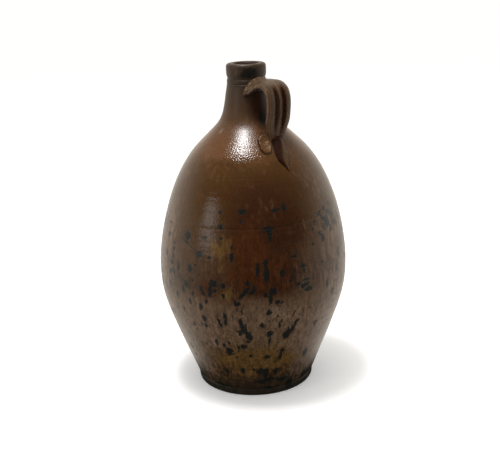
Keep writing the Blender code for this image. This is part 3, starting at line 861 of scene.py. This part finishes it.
# Dark marks: degrees, height, half width and half height in millimetres, some with a lean in degrees
SPOTS = (
    (-44, 202, 4.3, 4.2), (-44, 195, 2.5, 1.9), (-34, 185, 4.3, 2.8), (-31, 203, 2.8, 1.9),
    (-21, 216, 2.5, 3.0), (-20, 204, 2.0, 1.5), (-22, 231, 1.3, 2.1), (-7, 232, 4.1, 2.6),
    (-8, 222, 1.8, 1.4), (-24, 154, 4.7, 4.2), (-26, 144, 2.6, 6.0), (-31, 142, 2.5, 3.3),
    (-32, 146, 2.1, 3.8, 24), (-40, 167, 3.1, 4.4), (-43, 148, 3.3, 3.8), (-38, 154, 1.8, 1.9),
    (-27, 182, 2.1, 1.6), (-36, 172, 1.8, 1.9), (-13, 185, 1.7, 6.2), (-13, 196, 1.2, 2.5),
    (-18, 152, 2.8, 2.5), (-18, 141, 2.0, 2.4), (-23, 146, 2.1, 2.1), (-4, 156, 2.9, 2.5),
    (-6, 145, 2.0, 9.0, 40), (-58, 156, 3.0, 2.8), (-66, 209, 4.3, 1.2), (-78, 206, 2.2, 3.8),
    (-1, 147, 1.9, 4.8, 46), (-10, 132, 3.4, 2.7, -20), (21, 233, 2.8, 3.6, -8), (15, 232, 3.9, 1.9, -10),
    (9, 213, 4.8, 2.5), (10, 206, 1.9, 4.4), (10, 201, 1.8, 1.5), (2, 171, 1.9, 7.5), (7, 165, 2.9, 10.0),
    (7, 178, 2.4, 3.8), (16, 165, 2.2, 4.2), (21, 155, 2.0, 2.5), (10, 145, 3.6, 4.5), (9, 137, 1.9, 7.5),
    (6, 141, 1.9, 2.1), (0, 152, 1.5, 2.5), (29, 169, 4.1, 2.0), (30, 164, 1.4, 3.8),
    (30, 147, 5.5, 3.0, -18), (33, 141, 5.0, 2.4), (31, 153, 4.2, 1.2), (26, 150, 2.7, 1.8),
    (48, 220, 3.9, 2.0, -20), (54, 223, 3.2, 2.4), (54, 208, 5.3, 6.2, -23), (62, 213, 3.5, 3.8),
    (63, 204, 3.5, 2.5), (45, 199, 2.2, 3.2, -43), (47, 193, 3.1, 4.0, -30), (62, 225, 2.6, 2.6),
    (44, 167, 2.6, 1.5), (62, 169, 3.5, 5.0), (58, 152, 2.2, 3.8), (54, 127, 3.6, 4.5), (76, 189, 2.2, 2.5),
    (48, 140, 2.2, 5.2), (24, 181, 2.9, 1.2), (-33, 124, 2.3, 4.5, 12), (-32, 109, 2.5, 3.6, -18),
    (-32, 100, 1.7, 3.0), (-22, 108, 1.9, 7.5, -11), (-18, 116, 1.8, 4.5), (-18, 108, 1.7, 4.5),
    (-9, 110, 1.7, 4.5), (-8, 102, 2.9, 7.5), (-10, 95, 1.9, 4.5), (-6, 99, 1.4, 7.5), (-4, 89, 3.6, 6.0),
    (-5, 82, 2.1, 2.4), (4, 104, 2.6, 3.0), (9, 92, 3.1, 3.9), (9, 82, 1.2, 4.5), (8, 120, 2.2, 3.3),
    (13, 132, 2.7, 2.1, -20), (26, 103, 2.4, 4.2, 46), (24, 95, 2.6, 5.7, 22), (20, 87, 4.3, 4.5),
    (22, 92, 2.6, 3.0), (15, 103, 1.2, 3.8), (42, 93, 2.6, 3.6), (-27, 78, 2.1, 4.5), (-22, 75, 2.0, 3.0),
    (-19, 67, 3.8, 5.4), (-18, 79, 1.2, 3.0), (-8, 75, 3.6, 3.0), (-12, 73, 1.7, 3.0), (19, 66, 3.0, 3.0),
    (18, 57, 2.0, 4.5), (8, 58, 3.1, 2.4), (41, 52, 3.2, 6.0), (-4, 61, 2.1, 1.8), (-14, 58, 1.5, 1.5),
    (-25, 35, 2.1, 3.0), (-11, 38, 2.4, 4.5), (-2, 40, 1.9, 1.8), (4, 37, 4.2, 4.5), (8, 34, 2.9, 6.0),
    (16, 35, 3.2, 4.5), (4, 20, 7.2, 2.4), (32, 11, 4.9, 6.0), (12, 10, 3.7, 3.0), (51, 14, 4.7, 3.8),
    # (8, 371) and (-6, 369) are a painted dark reflection on the collar's front; (31, 322) is painted shade
    # on the neck under the strap
    (61, 12, 4.3, 3.0), (-36, 10, 7.4, 3.0), (8, 371, 8.5, 5.0), (-6, 369, 5.0, 2.6), (31, 322, 3.6, 7.0),
    (12, 24, 9.0, 1.8), (24, 20, 7.0, 2.4), (50, 214, 2.2, 4.0, -30), (58, 217, 2.4, 3.4, -20),
    (57, 199, 2.6, 3.6), (42, 212, 1.6, 2.6), (50, 203, 1.8, 3.6, -30), (66, 203, 2.4, 4.4),
    (40, 205, 1.3, 2.2), (38, 190, 1.4, 2.4), (-50, 165, 2.2, 4.5), (-56, 174, 1.8, 3.6),
    (-46, 140, 2.0, 4.6), (-52, 132, 2.2, 4.0), (-41, 128, 1.8, 3.6), (-60, 140, 1.8, 4.6),
    (-48, 115, 1.6, 3.4), (-38, 138, 1.6, 3.2, 10), (-29, 132, 1.8, 3.0), (-42, 98, 1.8, 3.8),
)
UNSEEN_SPOTS = 170
SCRATCH = ((-50, 0.200), (-33, 0.184))
SCRATCH_RADIUS = 0.104


def facing_places(places):
    """Degrees to the right of the facing side, height and wall radius of each place."""
    angle = np.degrees(np.arctan2(places[:, 1], places[:, 0]) - FACING)
    degrees = (angle + 180) % 360 - 180
    return degrees, places[:, 2], np.maximum(np.hypot(places[:, 0], places[:, 1]), 0.01)


def arc_away(degrees, middle, radius):
    """Length along the wall between each place and a middle angle."""
    away = (degrees - middle + 180) % 360 - 180
    return np.radians(away) * radius


def painted_zones(places):
    """Strength of each kind of zone at each place, one kind in each colour channel."""
    degrees, height, radius = facing_places(places)
    bare = np.ones((len(places), len(ZONES)))
    for channel, kind in enumerate(ZONES.values()):
        for middle, level, half_width, half_height, strength in kind:
            across = arc_away(degrees, middle, radius) / half_width
            up = (height - level) / half_height
            bare[:, channel] *= 1 - strength * np.exp(-0.7 * (across**2 + up**2))
    return 1 - bare


def unseen_spots(count):
    """Seeded spots for the sides and the back, of the same sizes as those in front."""
    chance = np.random.default_rng(7)
    spots = []
    for _ in range(count):
        degrees = chance.uniform(66, 305)
        height = 30 + 205 * chance.beta(2.2, 1.9)
        tall = chance.uniform(1.6, 5.2)
        spots.append((degrees, height, chance.uniform(1.4, 3.8), tall, chance.uniform(-30, 30)))
    return spots


def painted_spots(places):
    degrees, height, radius = facing_places(places)
    field = np.zeros(len(places))
    for middle, level, half_width, half_height, *lean in (*SPOTS, *unseen_spots(UNSEEN_SPOTS)):
        across = arc_away(degrees, middle, radius) * 1000
        up = height * 1000 - level
        turn = math.radians(sum(lean))
        along = up * math.cos(turn) + across * math.sin(turn)
        aside = across * math.cos(turn) - up * math.sin(turn)
        q = np.hypot(aside / half_width, along / half_height)
        field = np.maximum(field, 1 - 0.5 * q)
    return np.clip(field, 0, 1)


def painted_scratch(places):
    """Signed distance from the long scratch in centimetres, held at 1 away from it."""
    degrees, height, radius = facing_places(places)
    (start, low), (end, high) = SCRATCH
    middle = (start + end) / 2
    across = arc_away(degrees, middle, radius)
    half = math.radians((end - start) / 2) * SCRATCH_RADIUS
    slope = (high - low) / (2 * half)
    away = (height - (low + high) / 2 - slope * across) * 100
    ends = np.clip((np.abs(across) - half) / 0.002, 0, 1)
    return np.where(ends > 0, 1, np.clip(away, -1, 1))


def add_values(piece, name, values):
    layer = piece.data.attributes.new(name, "FLOAT", "POINT")
    layer.data.foreach_set("value", values.astype(np.float32))


def add_colours(piece, name, values):
    layer = piece.data.attributes.new(name, "FLOAT_COLOR", "POINT")
    layer.data.foreach_set("color", values.astype(np.float32).ravel())


def paint(piece, hollows=None, shares=None, reddened=None):
    """Stores the painted fields on the clay; shares are places across a strap, from -1 to 1."""
    places = read_places(piece)
    zones = painted_zones(places)
    spots = painted_spots(places)
    girth_pool = GIRTH_POOL * bump_at(places[:, 2], girth_height, GIRTH_POOL_WIDTH)
    none = np.zeros(len(places))
    if shares is not None:
        zones[:] = 0
        spots = none
    if reddened is not None:
        zones[:, 0] = reddened
    add_colours(piece, "zones", zones)
    add_values(piece, "spots", spots)
    add_values(piece, "scratch", painted_scratch(places))
    add_values(piece, "hollows", girth_pool if hollows is None else hollows)
    add_values(piece, "across", none if shares is None else shares)


# Values in node trees
class Value:
    """One output in a node tree; plain arithmetic joins it to other values."""

    def __init__(self, made, label=0):
        self.socket = made.outputs[label]
        self.tree = made.id_data

    def __add__(self, other):
        return calc("ADD", self, other)

    def __sub__(self, other):
        return calc("SUBTRACT", self, other)

    def __rsub__(self, other):
        return calc("SUBTRACT", other, self)

    def __mul__(self, other):
        return calc("MULTIPLY", self, other)

    def __truediv__(self, other):
        return calc("DIVIDE", self, other)

    def __abs__(self):
        return calc("ABSOLUTE", self)


def tree_of(*values):
    return next(value.tree for value in values if isinstance(value, Value))


def feed(socket, value):
    """Joins a socket to a value of its tree, or sets it to plain numbers."""
    if isinstance(value, Value):
        value.tree.links.new(value.socket, socket)
    elif socket.type == "RGBA":
        socket.default_value = (*value, 1)
    else:
        socket.default_value = value


def node(tree, kind, settings=None, **sockets):
    made = tree.nodes.new("ShaderNode" + kind)
    for key, value in (settings or {}).items():
        setattr(made, key, value)
    for label, value in sockets.items():
        feed(made.inputs[label.replace("_", " ")], value)
    return made


def calc(operation, *values):
    made = node(tree_of(*values), "Math", {"operation": operation})
    for socket, value in zip(made.inputs, values):
        feed(socket, value)
    return Value(made)


def vector_calc(operation, vector, other=None):
    made = node(vector.tree, "VectorMath", {"operation": operation})
    feed(made.inputs[0], vector)
    if other is not None:
        feed(made.inputs[1], other)
    return Value(made, "Vector" if operation == "NORMALIZE" else "Value")


def blend(share, low, high, mode="MIX"):
    """The high colour laid over the low one by a share."""
    made = node(tree_of(share, low, high), "Mix", {"data_type": "RGBA", "blend_type": mode})
    for number, value in ((0, share), (6, low), (7, high)):
        feed(made.inputs[number], value)
    return Value(made, 2)


def step_between(value, low, high):
    made = node(
        value.tree, "MapRange", {"interpolation_type": "SMOOTHSTEP"},
        Value=value, From_Min=low, From_Max=high)
    return Value(made, "Result")


def around_one(mask, amount):
    """A share of light near 1 that a mask from 0 to 1 sways by an amount."""
    return mask * amount + (1 - amount / 2)


def ramp(share, stops):
    """A colour ramp with colours at shares from 0 to 1."""
    made = node(share.tree, "ValToRGB", None, Fac=share)
    elements = made.color_ramp.elements
    for index, (place, colour) in enumerate(stops):
        element = elements[index] if index < 2 else elements.new(place)
        element.position = place
        element.color = (*colour, 1)
    return Value(made, "Color")


def speckle(position, size, detail, roughness=0.5):
    """Noise of a feature size in metres, between 0 and 1."""
    made = node(
        position.tree, "TexNoise", None,
        Vector=position, Scale=1 / size, Detail=detail, Roughness=roughness)
    return Value(made, "Fac")


def lines_across(place, scale, detail, roughness):
    """Noise that changes along one value only, between 0 and 1."""
    made = node(
        place.tree, "TexNoise", {"noise_dimensions": "1D"},
        W=place, Scale=scale, Detail=detail, Roughness=roughness)
    return Value(made, "Fac")


def stretched(position, share):
    """The position with its height squeezed, so that patterns run down the wall."""
    made = node(position.tree, "Mapping", {"vector_type": "POINT"}, Vector=position, Scale=(1, 1, share))
    return Value(made)


def height_of(position):
    return Value(node(position.tree, "SeparateXYZ", None, Vector=position), "Z")


# Shared effects of the glaze, each made once as a node group
# Display colours of the glaze by height, and its roughness, pebbles and texture
HEIGHT_TONES = (
    (0.000, (36, 30, 20)), (0.012, (42, 32, 20)), (0.024, (50, 35, 20)), (0.036, (62, 43, 24)),
    (0.052, (74, 52, 28)), (0.078, (82, 62, 42)), (0.106, (88, 68, 51)), (0.125, (86, 66, 48)),
    (0.138, (70, 48, 30)), (0.150, (62, 41, 24)), (0.180, (67, 45, 25)), (0.205, (65, 44, 24)),
    (0.229, (64, 42, 18)), (0.252, (60, 37, 14)), (0.273, (64, 41, 16)), (0.290, (79, 51, 26)),
    (0.305, (80, 50, 26)), (0.318, (68, 46, 25)), (0.340, (59, 42, 27)), (0.362, (50, 37, 24)),
    (0.380, (55, 40, 26)),
)
ROUGHNESS_HEIGHTS = (
    (0.000, 0.50), (0.012, 0.32), (0.040, 0.25), (0.190, 0.22),
    (0.240, 0.17), (0.295, 0.15), (0.322, 0.38), (0.380, 0.42))
PEBBLE_HEIGHTS = (
    (0.000, 0.06), (0.170, 0.07), (0.215, 0.15), (0.258, 0.05), (0.277, 0.08),
    (0.285, 0.24), (0.293, 0.20), (0.302, 0.10), (0.325, 0.06))
TEXTURE_HEIGHTS = (
    (0.000, 0.75), (0.030, 1.0), (0.140, 1.0), (0.190, 0.60), (0.235, 0.14), (0.340, 0.22))
RAGGED_HEIGHT = 0.012
TURNING_DRIFT = 0.0060
FRAY_SIZE = 0.0028
SPOT_EDGE = (0.38, 0.50)
SPECK_SIZE = 0.0032
SPECK_LIMIT = 0.78
SPECK_GIVE = 0.18


def mottle(position):
    """Masks of cloudy, streaky and speckled glaze, each spread over 0 to 1, and fine grain."""
    return {
        "Clouds": step_between(speckle(position, 0.030, 3.0, 0.60), 0.32, 0.68),
        "Streaks": step_between(speckle(stretched(position, 0.22), 0.0046, 4.0, 0.66), 0.34, 0.66),
        "Speckles": step_between(speckle(stretched(position, 0.55), 0.0030, 3.0, 0.60), 0.34, 0.66),
        "Grain": speckle(position, 0.0011, 2.0, 0.60),
    }


def fired(position, ragged):
    """What the kiln gives at each height: the colour, roughness, pebbles and texture."""
    level = height_of(position)
    tones = [(height / rim_height, rgb(*tone)) for height, tone in HEIGHT_TONES]
    made = {"Color": ramp((ragged * RAGGED_HEIGHT + level) / rim_height, tones)}
    for label, table in (
            ("Roughness", ROUGHNESS_HEIGHTS), ("Pebbles", PEBBLE_HEIGHTS), ("Texture", TEXTURE_HEIGHTS)):
        stops = [(height / rim_height, (value, value, value)) for height, value in table]
        made[label] = ramp(level / rim_height, stops)
    return made


def turning(position, spacing):
    """Fine lines that turning on the wheel leaves, as a height between 0 and 1."""
    level = speckle(position, 0.060, 1.0) * TURNING_DRIFT + height_of(position)
    return {"Height": lines_across(level / spacing, 1.0, 2.0, 0.6)}


def spot_masks(position, field, ragged, chance):
    """Crisp ragged spots from the soft painted field and from chance specks: iron spots, and on the neck
    painted shade and a painted dark reflection.
    """
    fray = speckle(position, FRAY_SIZE, 4.0, 0.80) - 0.5
    painted = step_between(fray * ragged + field, *SPOT_EDGE)
    specks = speckle(stretched(position, 0.50), SPECK_SIZE, 3.0, 0.65)
    chanced = step_between(specks - (SPECK_LIMIT - chance * SPECK_GIVE), 0.0, 0.05)
    return {"Mask": calc("MAXIMUM", painted, chanced)}


def pulled_lines(position, across):
    """Fine lines along a pulled strap, as a height between 0 and 1."""
    place = speckle(position, 0.020, 1.0) * 0.25 + across
    return {"Height": step_between(lines_across(place, 12.0, 3.0, 0.7), 0.30, 0.70)}


def salt_pebbles(position, size):
    """The orange-peel surface of salt glaze, as a height."""
    tree = position.tree
    scale = calc("DIVIDE", 1.0, size)
    cells = node(
        tree, "TexVoronoi", {"feature": "SMOOTH_F1"}, Vector=position, Scale=scale, Smoothness=0.8)
    swell = node(tree, "TexNoise", None, Vector=position, Scale=scale, Detail=1.0)
    return {"Height": Value(swell, "Fac") * 0.8 + Value(cells, "Distance")}


def shared_group(name, make, **inputs):
    """A node group with named inputs; make turns their values into its named outputs."""
    tree = bpy.data.node_groups.new(name, "ShaderNodeTree")
    tree.interface.new_socket("Position", in_out="INPUT", socket_type="NodeSocketVector")
    for label, value in inputs.items():
        socket = tree.interface.new_socket(label, in_out="INPUT", socket_type="NodeSocketFloat")
        socket.default_value = value
    start = tree.nodes.new("NodeGroupInput")
    made = make(*(Value(start, label) for label in ("Position", *inputs)))
    for label in made:
        kind = "NodeSocketColor" if label == "Color" else "NodeSocketFloat"
        tree.interface.new_socket(label, in_out="OUTPUT", socket_type=kind)
    end = tree.nodes.new("NodeGroupOutput")
    for label, value in made.items():
        feed(end.inputs[label], value)
    return tree


GROUPS = {
    "fired": shared_group("fired_heights", fired, Ragged=0.0),
    "pulled": shared_group("pulled_lines", pulled_lines, Across=0.0),
    "mottle": shared_group("glaze_mottle", mottle),
    "turning": shared_group("turning_lines", turning, Spacing=0.0016),
    "spot_masks": shared_group("spots_and_painted_shade", spot_masks, Field=0.0, Ragged=0.6, Chance=0.0),
    "pebble": shared_group("salt_pebble", salt_pebbles, Size=0.0017),
}


def shared(key, position, **sockets):
    """One of the shared groups, placed in the tree of the position."""
    return node(position.tree, "Group", {"node_tree": GROUPS[key]}, Position=position, **sockets)


# Glazes
DUSK = rgb(49, 25, 9)
RUST = rgb(60, 29, 7)
OCHRE = rgb(80, 57, 26)
MAUVE = rgb(93, 73, 57)
STRAP_BROWN = rgb(80, 60, 41)
STRAP_RED = rgb(50, 23, 10)
LEAF_BROWN = rgb(82, 58, 32)
BLUE_BLACK = rgb(15, 23, 26)
GREEN_BLACK = rgb(20, 23, 13)
# Colour of the marks on the neck: painted shade under the strap and a painted dark reflection on the
# collar's front
SHADE_AND_REFLECTION_BROWN = rgb(21, 17, 12)
# Dark brown of glaze pooled in hollows, and of painted shade in the bore, under the strap's root, along the
# leaf's edge and round the pad
POOL_AND_SHADE_BROWN = rgb(40, 21, 11)

# Zones, first to last: stored channel, colour, tearing by clouds and by streaks, soft edge
ZONE_LAYERS = (
    ("Alpha", DUSK, 0.22, 0.14, 0.10, 0.78),
    ("Red", RUST, 0.24, 0.30, 0.15, 0.80),
    ("Blue", MAUVE, 0.24, 0.36, 0.15, 0.85),
    ("Green", OCHRE, 0.30, 0.44, 0.20, 0.80),
)

# How strongly each pattern lightens and darkens the colour
STREAK_SHADE = 0.46
SPECKLE_SHADE = 0.40
CLOUD_SHADE = 0.14
GRAIN_SHADE = 0.24
TURNING_SHADE = 0.20
PULLED_SHADE = (0.90, 0.54)
STRAP_TEXTURE = 0.45

# Strength of pooled glaze and painted shade in hollows, spots and the scratch, and the heights where chance
# specks gather
POOL_AND_SHADE_STRENGTH = 0.88
SPOT_STRENGTH = 0.94
SPOT_FRAY = 1.8
SCRATCH_STRENGTH = 0.7
SPECK_MIDDLE = 0.120
SPECK_REACH = (0.060, 0.115)

# Depths of the relief in millimetres
TURNING_RELIEF = 0.04
SPOT_RELIEF = 0.05
SCRATCH_RELIEF = 0.12
PULLED_RELIEF = 0.75


def new_material(name):
    material = bpy.data.materials.new(name)
    material.use_nodes = True
    tree = material.node_tree
    return material, tree, tree.nodes["Principled BSDF"]


def stored(tree, name, label="Fac"):
    """A painted field of the clay."""
    return Value(node(tree, "Attribute", {"attribute_name": name}), label)


def glaze(
        name, speck_chance, gloss, base=None, rust=RUST, roughness=None, pebbles=None, marks=BLUE_BLACK):
    """One brown salt glaze; a pulled piece has its own base colour, roughness and pebbles."""
    material, tree, shader = new_material(name)
    position = Value(node(tree, "TexCoord"), "Object")
    mottled = shared("mottle", position)
    clouds, streaks, speckles, grain = (
        Value(mottled, label) for label in ("Clouds", "Streaks", "Speckles", "Grain"))
    kiln = shared("fired", position, Ragged=clouds + streaks - 1)
    turns = Value(shared("turning", position))
    pulls = None if base is None else Value(shared("pulled", position, Across=stored(tree, "across")))

    colour = Value(kiln, "Color") if base is None else base
    zones = node(tree, "SeparateColor", None, Color=stored(tree, "zones", "Color"))
    for label, tone, cloudy, streaky, low, high in ZONE_LAYERS:
        field = stored(tree, "zones", "Alpha") if label == "Alpha" else Value(zones, label)
        field = (clouds - 0.5) * cloudy + field + (streaks - 0.5) * streaky
        colour = blend(step_between(field, low, high), colour, rust if label == "Red" else tone)
    shade = (streaks - 0.5) * STREAK_SHADE + (speckles - 0.5) * SPECKLE_SHADE
    shade = shade * (Value(kiln, "Texture") if base is None else STRAP_TEXTURE) + 1
    for mask, amount in ((clouds, CLOUD_SHADE), (grain, GRAIN_SHADE), (turns, TURNING_SHADE)):
        shade = shade * around_one(mask, amount)
    if pulls:
        shade = shade * (pulls * PULLED_SHADE[0] + PULLED_SHADE[1])
    colour = blend(1.0, colour, shade, "MULTIPLY")

    # Hollows darken: glaze pooled in the girth line, pooled glaze and painted shade in the rib grooves, and
    # painted shade under the strap's root, down the bore, along the leaf's edge and round the pad
    pool_and_shade = step_between(stored(tree, "hollows"), 0.20, 0.80)
    colour = blend(pool_and_shade * POOL_AND_SHADE_STRENGTH, colour, POOL_AND_SHADE_BROWN)
    dense = 1 - step_between(abs(height_of(position) - SPECK_MIDDLE), *SPECK_REACH)
    chance = dense * speck_chance * (clouds + 0.5)
    spotted = shared("spot_masks", position, Field=stored(tree, "spots"), Ragged=SPOT_FRAY, Chance=chance)
    spot = Value(spotted) * SPOT_STRENGTH
    colour = blend(spot, colour, blend(step_between(speckles, 0.25, 0.75), marks, GREEN_BLACK))
    scored = 1 - step_between(abs(stored(tree, "scratch")), 0.06, 0.12)
    colour = blend(scored * SCRATCH_STRENGTH, colour, BLUE_BLACK)
    feed(shader.inputs["Base Color"], colour)

    rough = (speckles - 0.5) * 0.08 + (Value(kiln, "Roughness") if roughness is None else roughness)
    feed(shader.inputs["Roughness"], rough + pool_and_shade * 0.10 + spot * 0.10)
    shader.inputs["Specular IOR Level"].default_value = gloss

    relief = Value(shared("pebble", position)) * (Value(kiln, "Pebbles") if pebbles is None else pebbles)
    relief = relief + turns * TURNING_RELIEF - spot * SPOT_RELIEF - scored * SCRATCH_RELIEF
    if pulls:
        relief = relief + pulls * PULLED_RELIEF
    bump = node(tree, "Bump", None, Height=relief, Distance=0.001, Strength=1.0)
    feed(shader.inputs["Normal"], Value(bump, "Normal"))
    return material


def bare_clay(name):
    """Dry clay under the foot and in the joints: buff brown with coarse grains."""
    material, tree, shader = new_material(name)
    mottled = shared("mottle", Value(node(tree, "TexCoord"), "Object"))
    clouds, speckles, grain = (Value(mottled, label) for label in ("Clouds", "Speckles", "Grain"))
    colour = blend(clouds, rgb(104, 82, 60), rgb(128, 104, 80))
    colour = blend(step_between(grain, 0.55, 0.75), colour, rgb(72, 54, 40))
    feed(shader.inputs["Base Color"], colour)
    feed(shader.inputs["Roughness"], speckles * 0.12 + 0.72)
    bump = node(tree, "Bump", None, Height=grain + speckles, Distance=0.00025, Strength=1.0)
    feed(shader.inputs["Normal"], Value(bump, "Normal"))
    return material


# Studio
# Lamps: name, place to the right, to the front and up, aimed height, width, height, radiance, shape
LAMPS = (
    ("overhead_softbox", (-0.16, 0.09, 1.30), 0.30, 0.24, 0.37, 31.0, "RECTANGLE"),
    ("overhead_diffuser", (-0.16, 0.09, 1.31), 0.30, 0.62, 0.50, 3.6, "ELLIPSE"),
    ("side_window", (-1.30, 0.80, 0.55), 0.22, 0.42, 0.60, 2.3, "RECTANGLE"),
)

# Light of the room as it falls on the pot, and as the glaze mirrors it
ROOM_FRONT = (0.76, 0.76, 0.76)
ROOM_BEHIND = (0.88, 0.87, 0.86)
ROOM_ABOVE = (1.02, 1.01, 0.99)
MIRRORED_FRONT = (0.012, 0.012, 0.012)
MIRRORED_BEHIND = (1.00, 0.92, 0.82)
MIRRORED_ABOVE = (0.10, 0.10, 0.10)
MIRRORED_DIMMING = 0.65

# The floor as the camera sees it, as it lights the pot and as the glaze mirrors it
FLOOR_SEEN = (0.97, 0.965, 0.955)
FLOOR_GLOW = (0.10, 0.10, 0.10)
FLOOR_LIGHT = (0.60, 0.59, 0.58)
FLOOR_MIRRORED_NEAR = (0.01, 0.01, 0.01)
FLOOR_MIRRORED_FAR = (0.90, 0.83, 0.74)
FLOOR_DIM_REACH = (0.072, 0.110)
FLOOR_SIZE = 40
FLOOR_DROP = 0.0002
BLACK = (0, 0, 0)
WHITE = (1, 1, 1)


def build_camera():
    data = bpy.data.cameras.new("camera")
    camera = bpy.data.objects.new("camera", data)
    bpy.context.scene.collection.objects.link(camera)
    data.sensor_width = SENSOR_WIDTH
    data.lens = CAMERA_LENS
    place = Vector((math.sin(CAMERA_BEARING), -math.cos(CAMERA_BEARING), 0)) * CAMERA_DISTANCE
    place.z = CAMERA_HEIGHT
    place -= ACROSS_VIEW * CAMERA_SIDESTEP
    turn = Matrix.Rotation(CAMERA_BEARING, 4, "Z") @ Matrix.Rotation(math.pi / 2 - CAMERA_PITCH, 4, "X")
    turn = turn @ Matrix.Rotation(CAMERA_ROLL, 4, "Z")
    camera.matrix_world = Matrix.Translation(place) @ turn
    bpy.context.scene.camera = camera


def build_lamp(name, place, aim_height, width, height, radiance, shape):
    """A flat lamp that faces a point on the pot's axis."""
    data = bpy.data.lights.new(name, "AREA")
    data.shape = shape
    data.size = width
    data.size_y = height
    data.energy = radiance * math.pi * width * height
    lamp = bpy.data.objects.new(name, data)
    bpy.context.scene.collection.objects.link(lamp)
    right, ahead, up = place
    hung = ACROSS_VIEW * right + TO_CAMERA * ahead + Vector((0, 0, up))
    towards = (hung - Vector((0, 0, aim_height))).normalized()
    upright = Matrix.Rotation(CAMERA_BEARING, 4, "Z") if towards.z > 0.9 else None
    turn = upright or towards.to_track_quat("Z", "Y").to_matrix().to_4x4()
    lamp.matrix_world = Matrix.Translation(hung) @ turn


def share_behind(direction, low, high):
    """Soft step from the camera's side of the pot to the far side."""
    return step_between(vector_calc("DOT_PRODUCT", direction, -TO_CAMERA), low, high)


def build_world():
    """White behind and beside the pot, dimmer on the camera's side; plain white to the camera."""
    world = bpy.data.worlds.new("studio")
    bpy.context.scene.world = world
    world.use_nodes = True
    tree = world.node_tree
    path = node(tree, "LightPath")
    towards = Value(node(tree, "TexCoord"), "Generated")
    behind = share_behind(towards, -0.45, 0.45)
    height = height_of(towards)
    level = blend(step_between(height, 0.15, 0.95), blend(behind, ROOM_FRONT, ROOM_BEHIND), ROOM_ABOVE)
    dimmed = step_between(height, 0.12, 0.70) * MIRRORED_DIMMING
    seen = blend(dimmed, blend(behind, MIRRORED_FRONT, MIRRORED_BEHIND), MIRRORED_ABOVE)
    colour = blend(Value(path, "Is Glossy Ray"), level, seen)
    colour = blend(Value(path, "Is Camera Ray"), colour, WHITE)
    feed(tree.nodes["Background"].inputs["Color"], colour)


def build_floor():
    """A wide plain floor, white to the camera and dim in the reflections of the glaze."""
    deselect()
    bpy.ops.mesh.primitive_plane_add(size=FLOOR_SIZE, location=(0, 0, -FLOOR_DROP))
    floor = bpy.context.object
    floor.name = floor.data.name = "pale_floor"
    bpy.ops.object.transform_apply(location=True, rotation=True, scale=True)
    material, tree, shader = new_material("pale_floor")
    path = node(tree, "LightPath")
    to_camera, mirrored = Value(path, "Is Camera Ray"), Value(path, "Is Glossy Ray")
    place = Value(node(tree, "TexCoord"), "Object")
    lit = share_behind(vector_calc("NORMALIZE", place), -0.85, 0.15)
    lit = lit * step_between(vector_calc("LENGTH", place), *FLOOR_DIM_REACH)
    seen = blend(lit, FLOOR_MIRRORED_NEAR, FLOOR_MIRRORED_FAR)
    feed(shader.inputs["Base Color"], blend(mirrored, blend(to_camera, FLOOR_LIGHT, FLOOR_SEEN), BLACK))
    feed(shader.inputs["Emission Color"], blend(mirrored, blend(to_camera, BLACK, FLOOR_GLOW), seen))
    shader.inputs["Emission Strength"].default_value = 1.0
    shader.inputs["Roughness"].default_value = 0.9
    shader.inputs["Specular IOR Level"].default_value = 0.0
    floor.data.materials.append(material)


# Making
# Painted shade down the bore of the mouth
BORE_SHADE_START = 0.0016
BORE_SHADE_WIDTH = 0.0010
SHADING_ANGLE = 50


def dress(piece, node_name, slot, *glazes):
    """Glazes a painted piece, joins it to the frame, leans it and shades it smooth."""
    for material in glazes:
        piece.data.materials.append(material)
    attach(piece, "root")
    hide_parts(node_name)
    if len(glazes) > 1:
        bare_underside(piece)
    write_places(piece, leaned(read_places(piece)))
    smooth_shaded(piece, SHADING_ANGLE)


def bare_underside(piece):
    """Gives the faces under the foot the second material."""
    for face in piece.data.polygons:
        if face.normal.z < -0.8 and face.center.z < 0.0004:
            face.material_index = 1


def bore_shade(mouth):
    """Painted shade down the bore, from 0 to 1."""
    places = read_places(mouth)
    radius = np.hypot(places[:, 0], places[:, 1])
    return np.clip((BORE_RADIUS + BORE_SHADE_START - radius) / BORE_SHADE_WIDTH, 0, 1)


def build():
    build_camera()
    body_glaze = glaze("mottled_ochre_glaze", 0.8, 0.42)
    shoulder_glaze = glaze("olive_brown_glaze", 0.5, 0.42)
    neck_glaze = glaze("dark_neck_glaze", 0.0, 0.26, marks=SHADE_AND_REFLECTION_BROWN)
    strap_glaze = glaze("mauve_strap_glaze", 0.0, 0.24, STRAP_BROWN, STRAP_RED, 0.17, 0.08)
    leaf_glaze = glaze("red_leaf_glaze", 0.0, 0.12, LEAF_BROWN, STRAP_RED, 0.30, 0.08)
    clay = bare_clay("bare_fired_clay")

    lower = lower_body()
    paint(lower)
    dress(lower, "lower_body", "body_glaze", body_glaze, clay)
    upper = upper_body()
    paint(upper)
    dress(upper, "upper_body", "shoulder_glaze", shoulder_glaze)
    mouth = neck()
    paint(mouth, bore_shade(mouth))
    dress(mouth, "neck", "neck_glaze", neck_glaze)

    strap, hollows, shares = handle()
    paint(strap, hollows, shares, STRAP_REDDENING * hollows)
    dress(strap, "handle", "handle_glaze", strap_glaze)
    leaf, crevice_shade, shares, reddened = tail()
    paint(leaf, crevice_shade, shares, reddened)
    dress(leaf, "handle_tail", "handle_glaze", leaf_glaze)
    thumbed, edge_shade = pad()
    paint(thumbed, edge_shade, np.zeros(len(edge_shade)), PAD_REDDENING + 0.3 * edge_shade)
    dress(thumbed, "thumbed_pad", "handle_glaze", leaf_glaze)

    build_world()
    build_floor()
    for lamp in LAMPS:
        build_lamp(*lamp)
    bpy.context.scene.view_settings.view_transform = "Standard"


build()
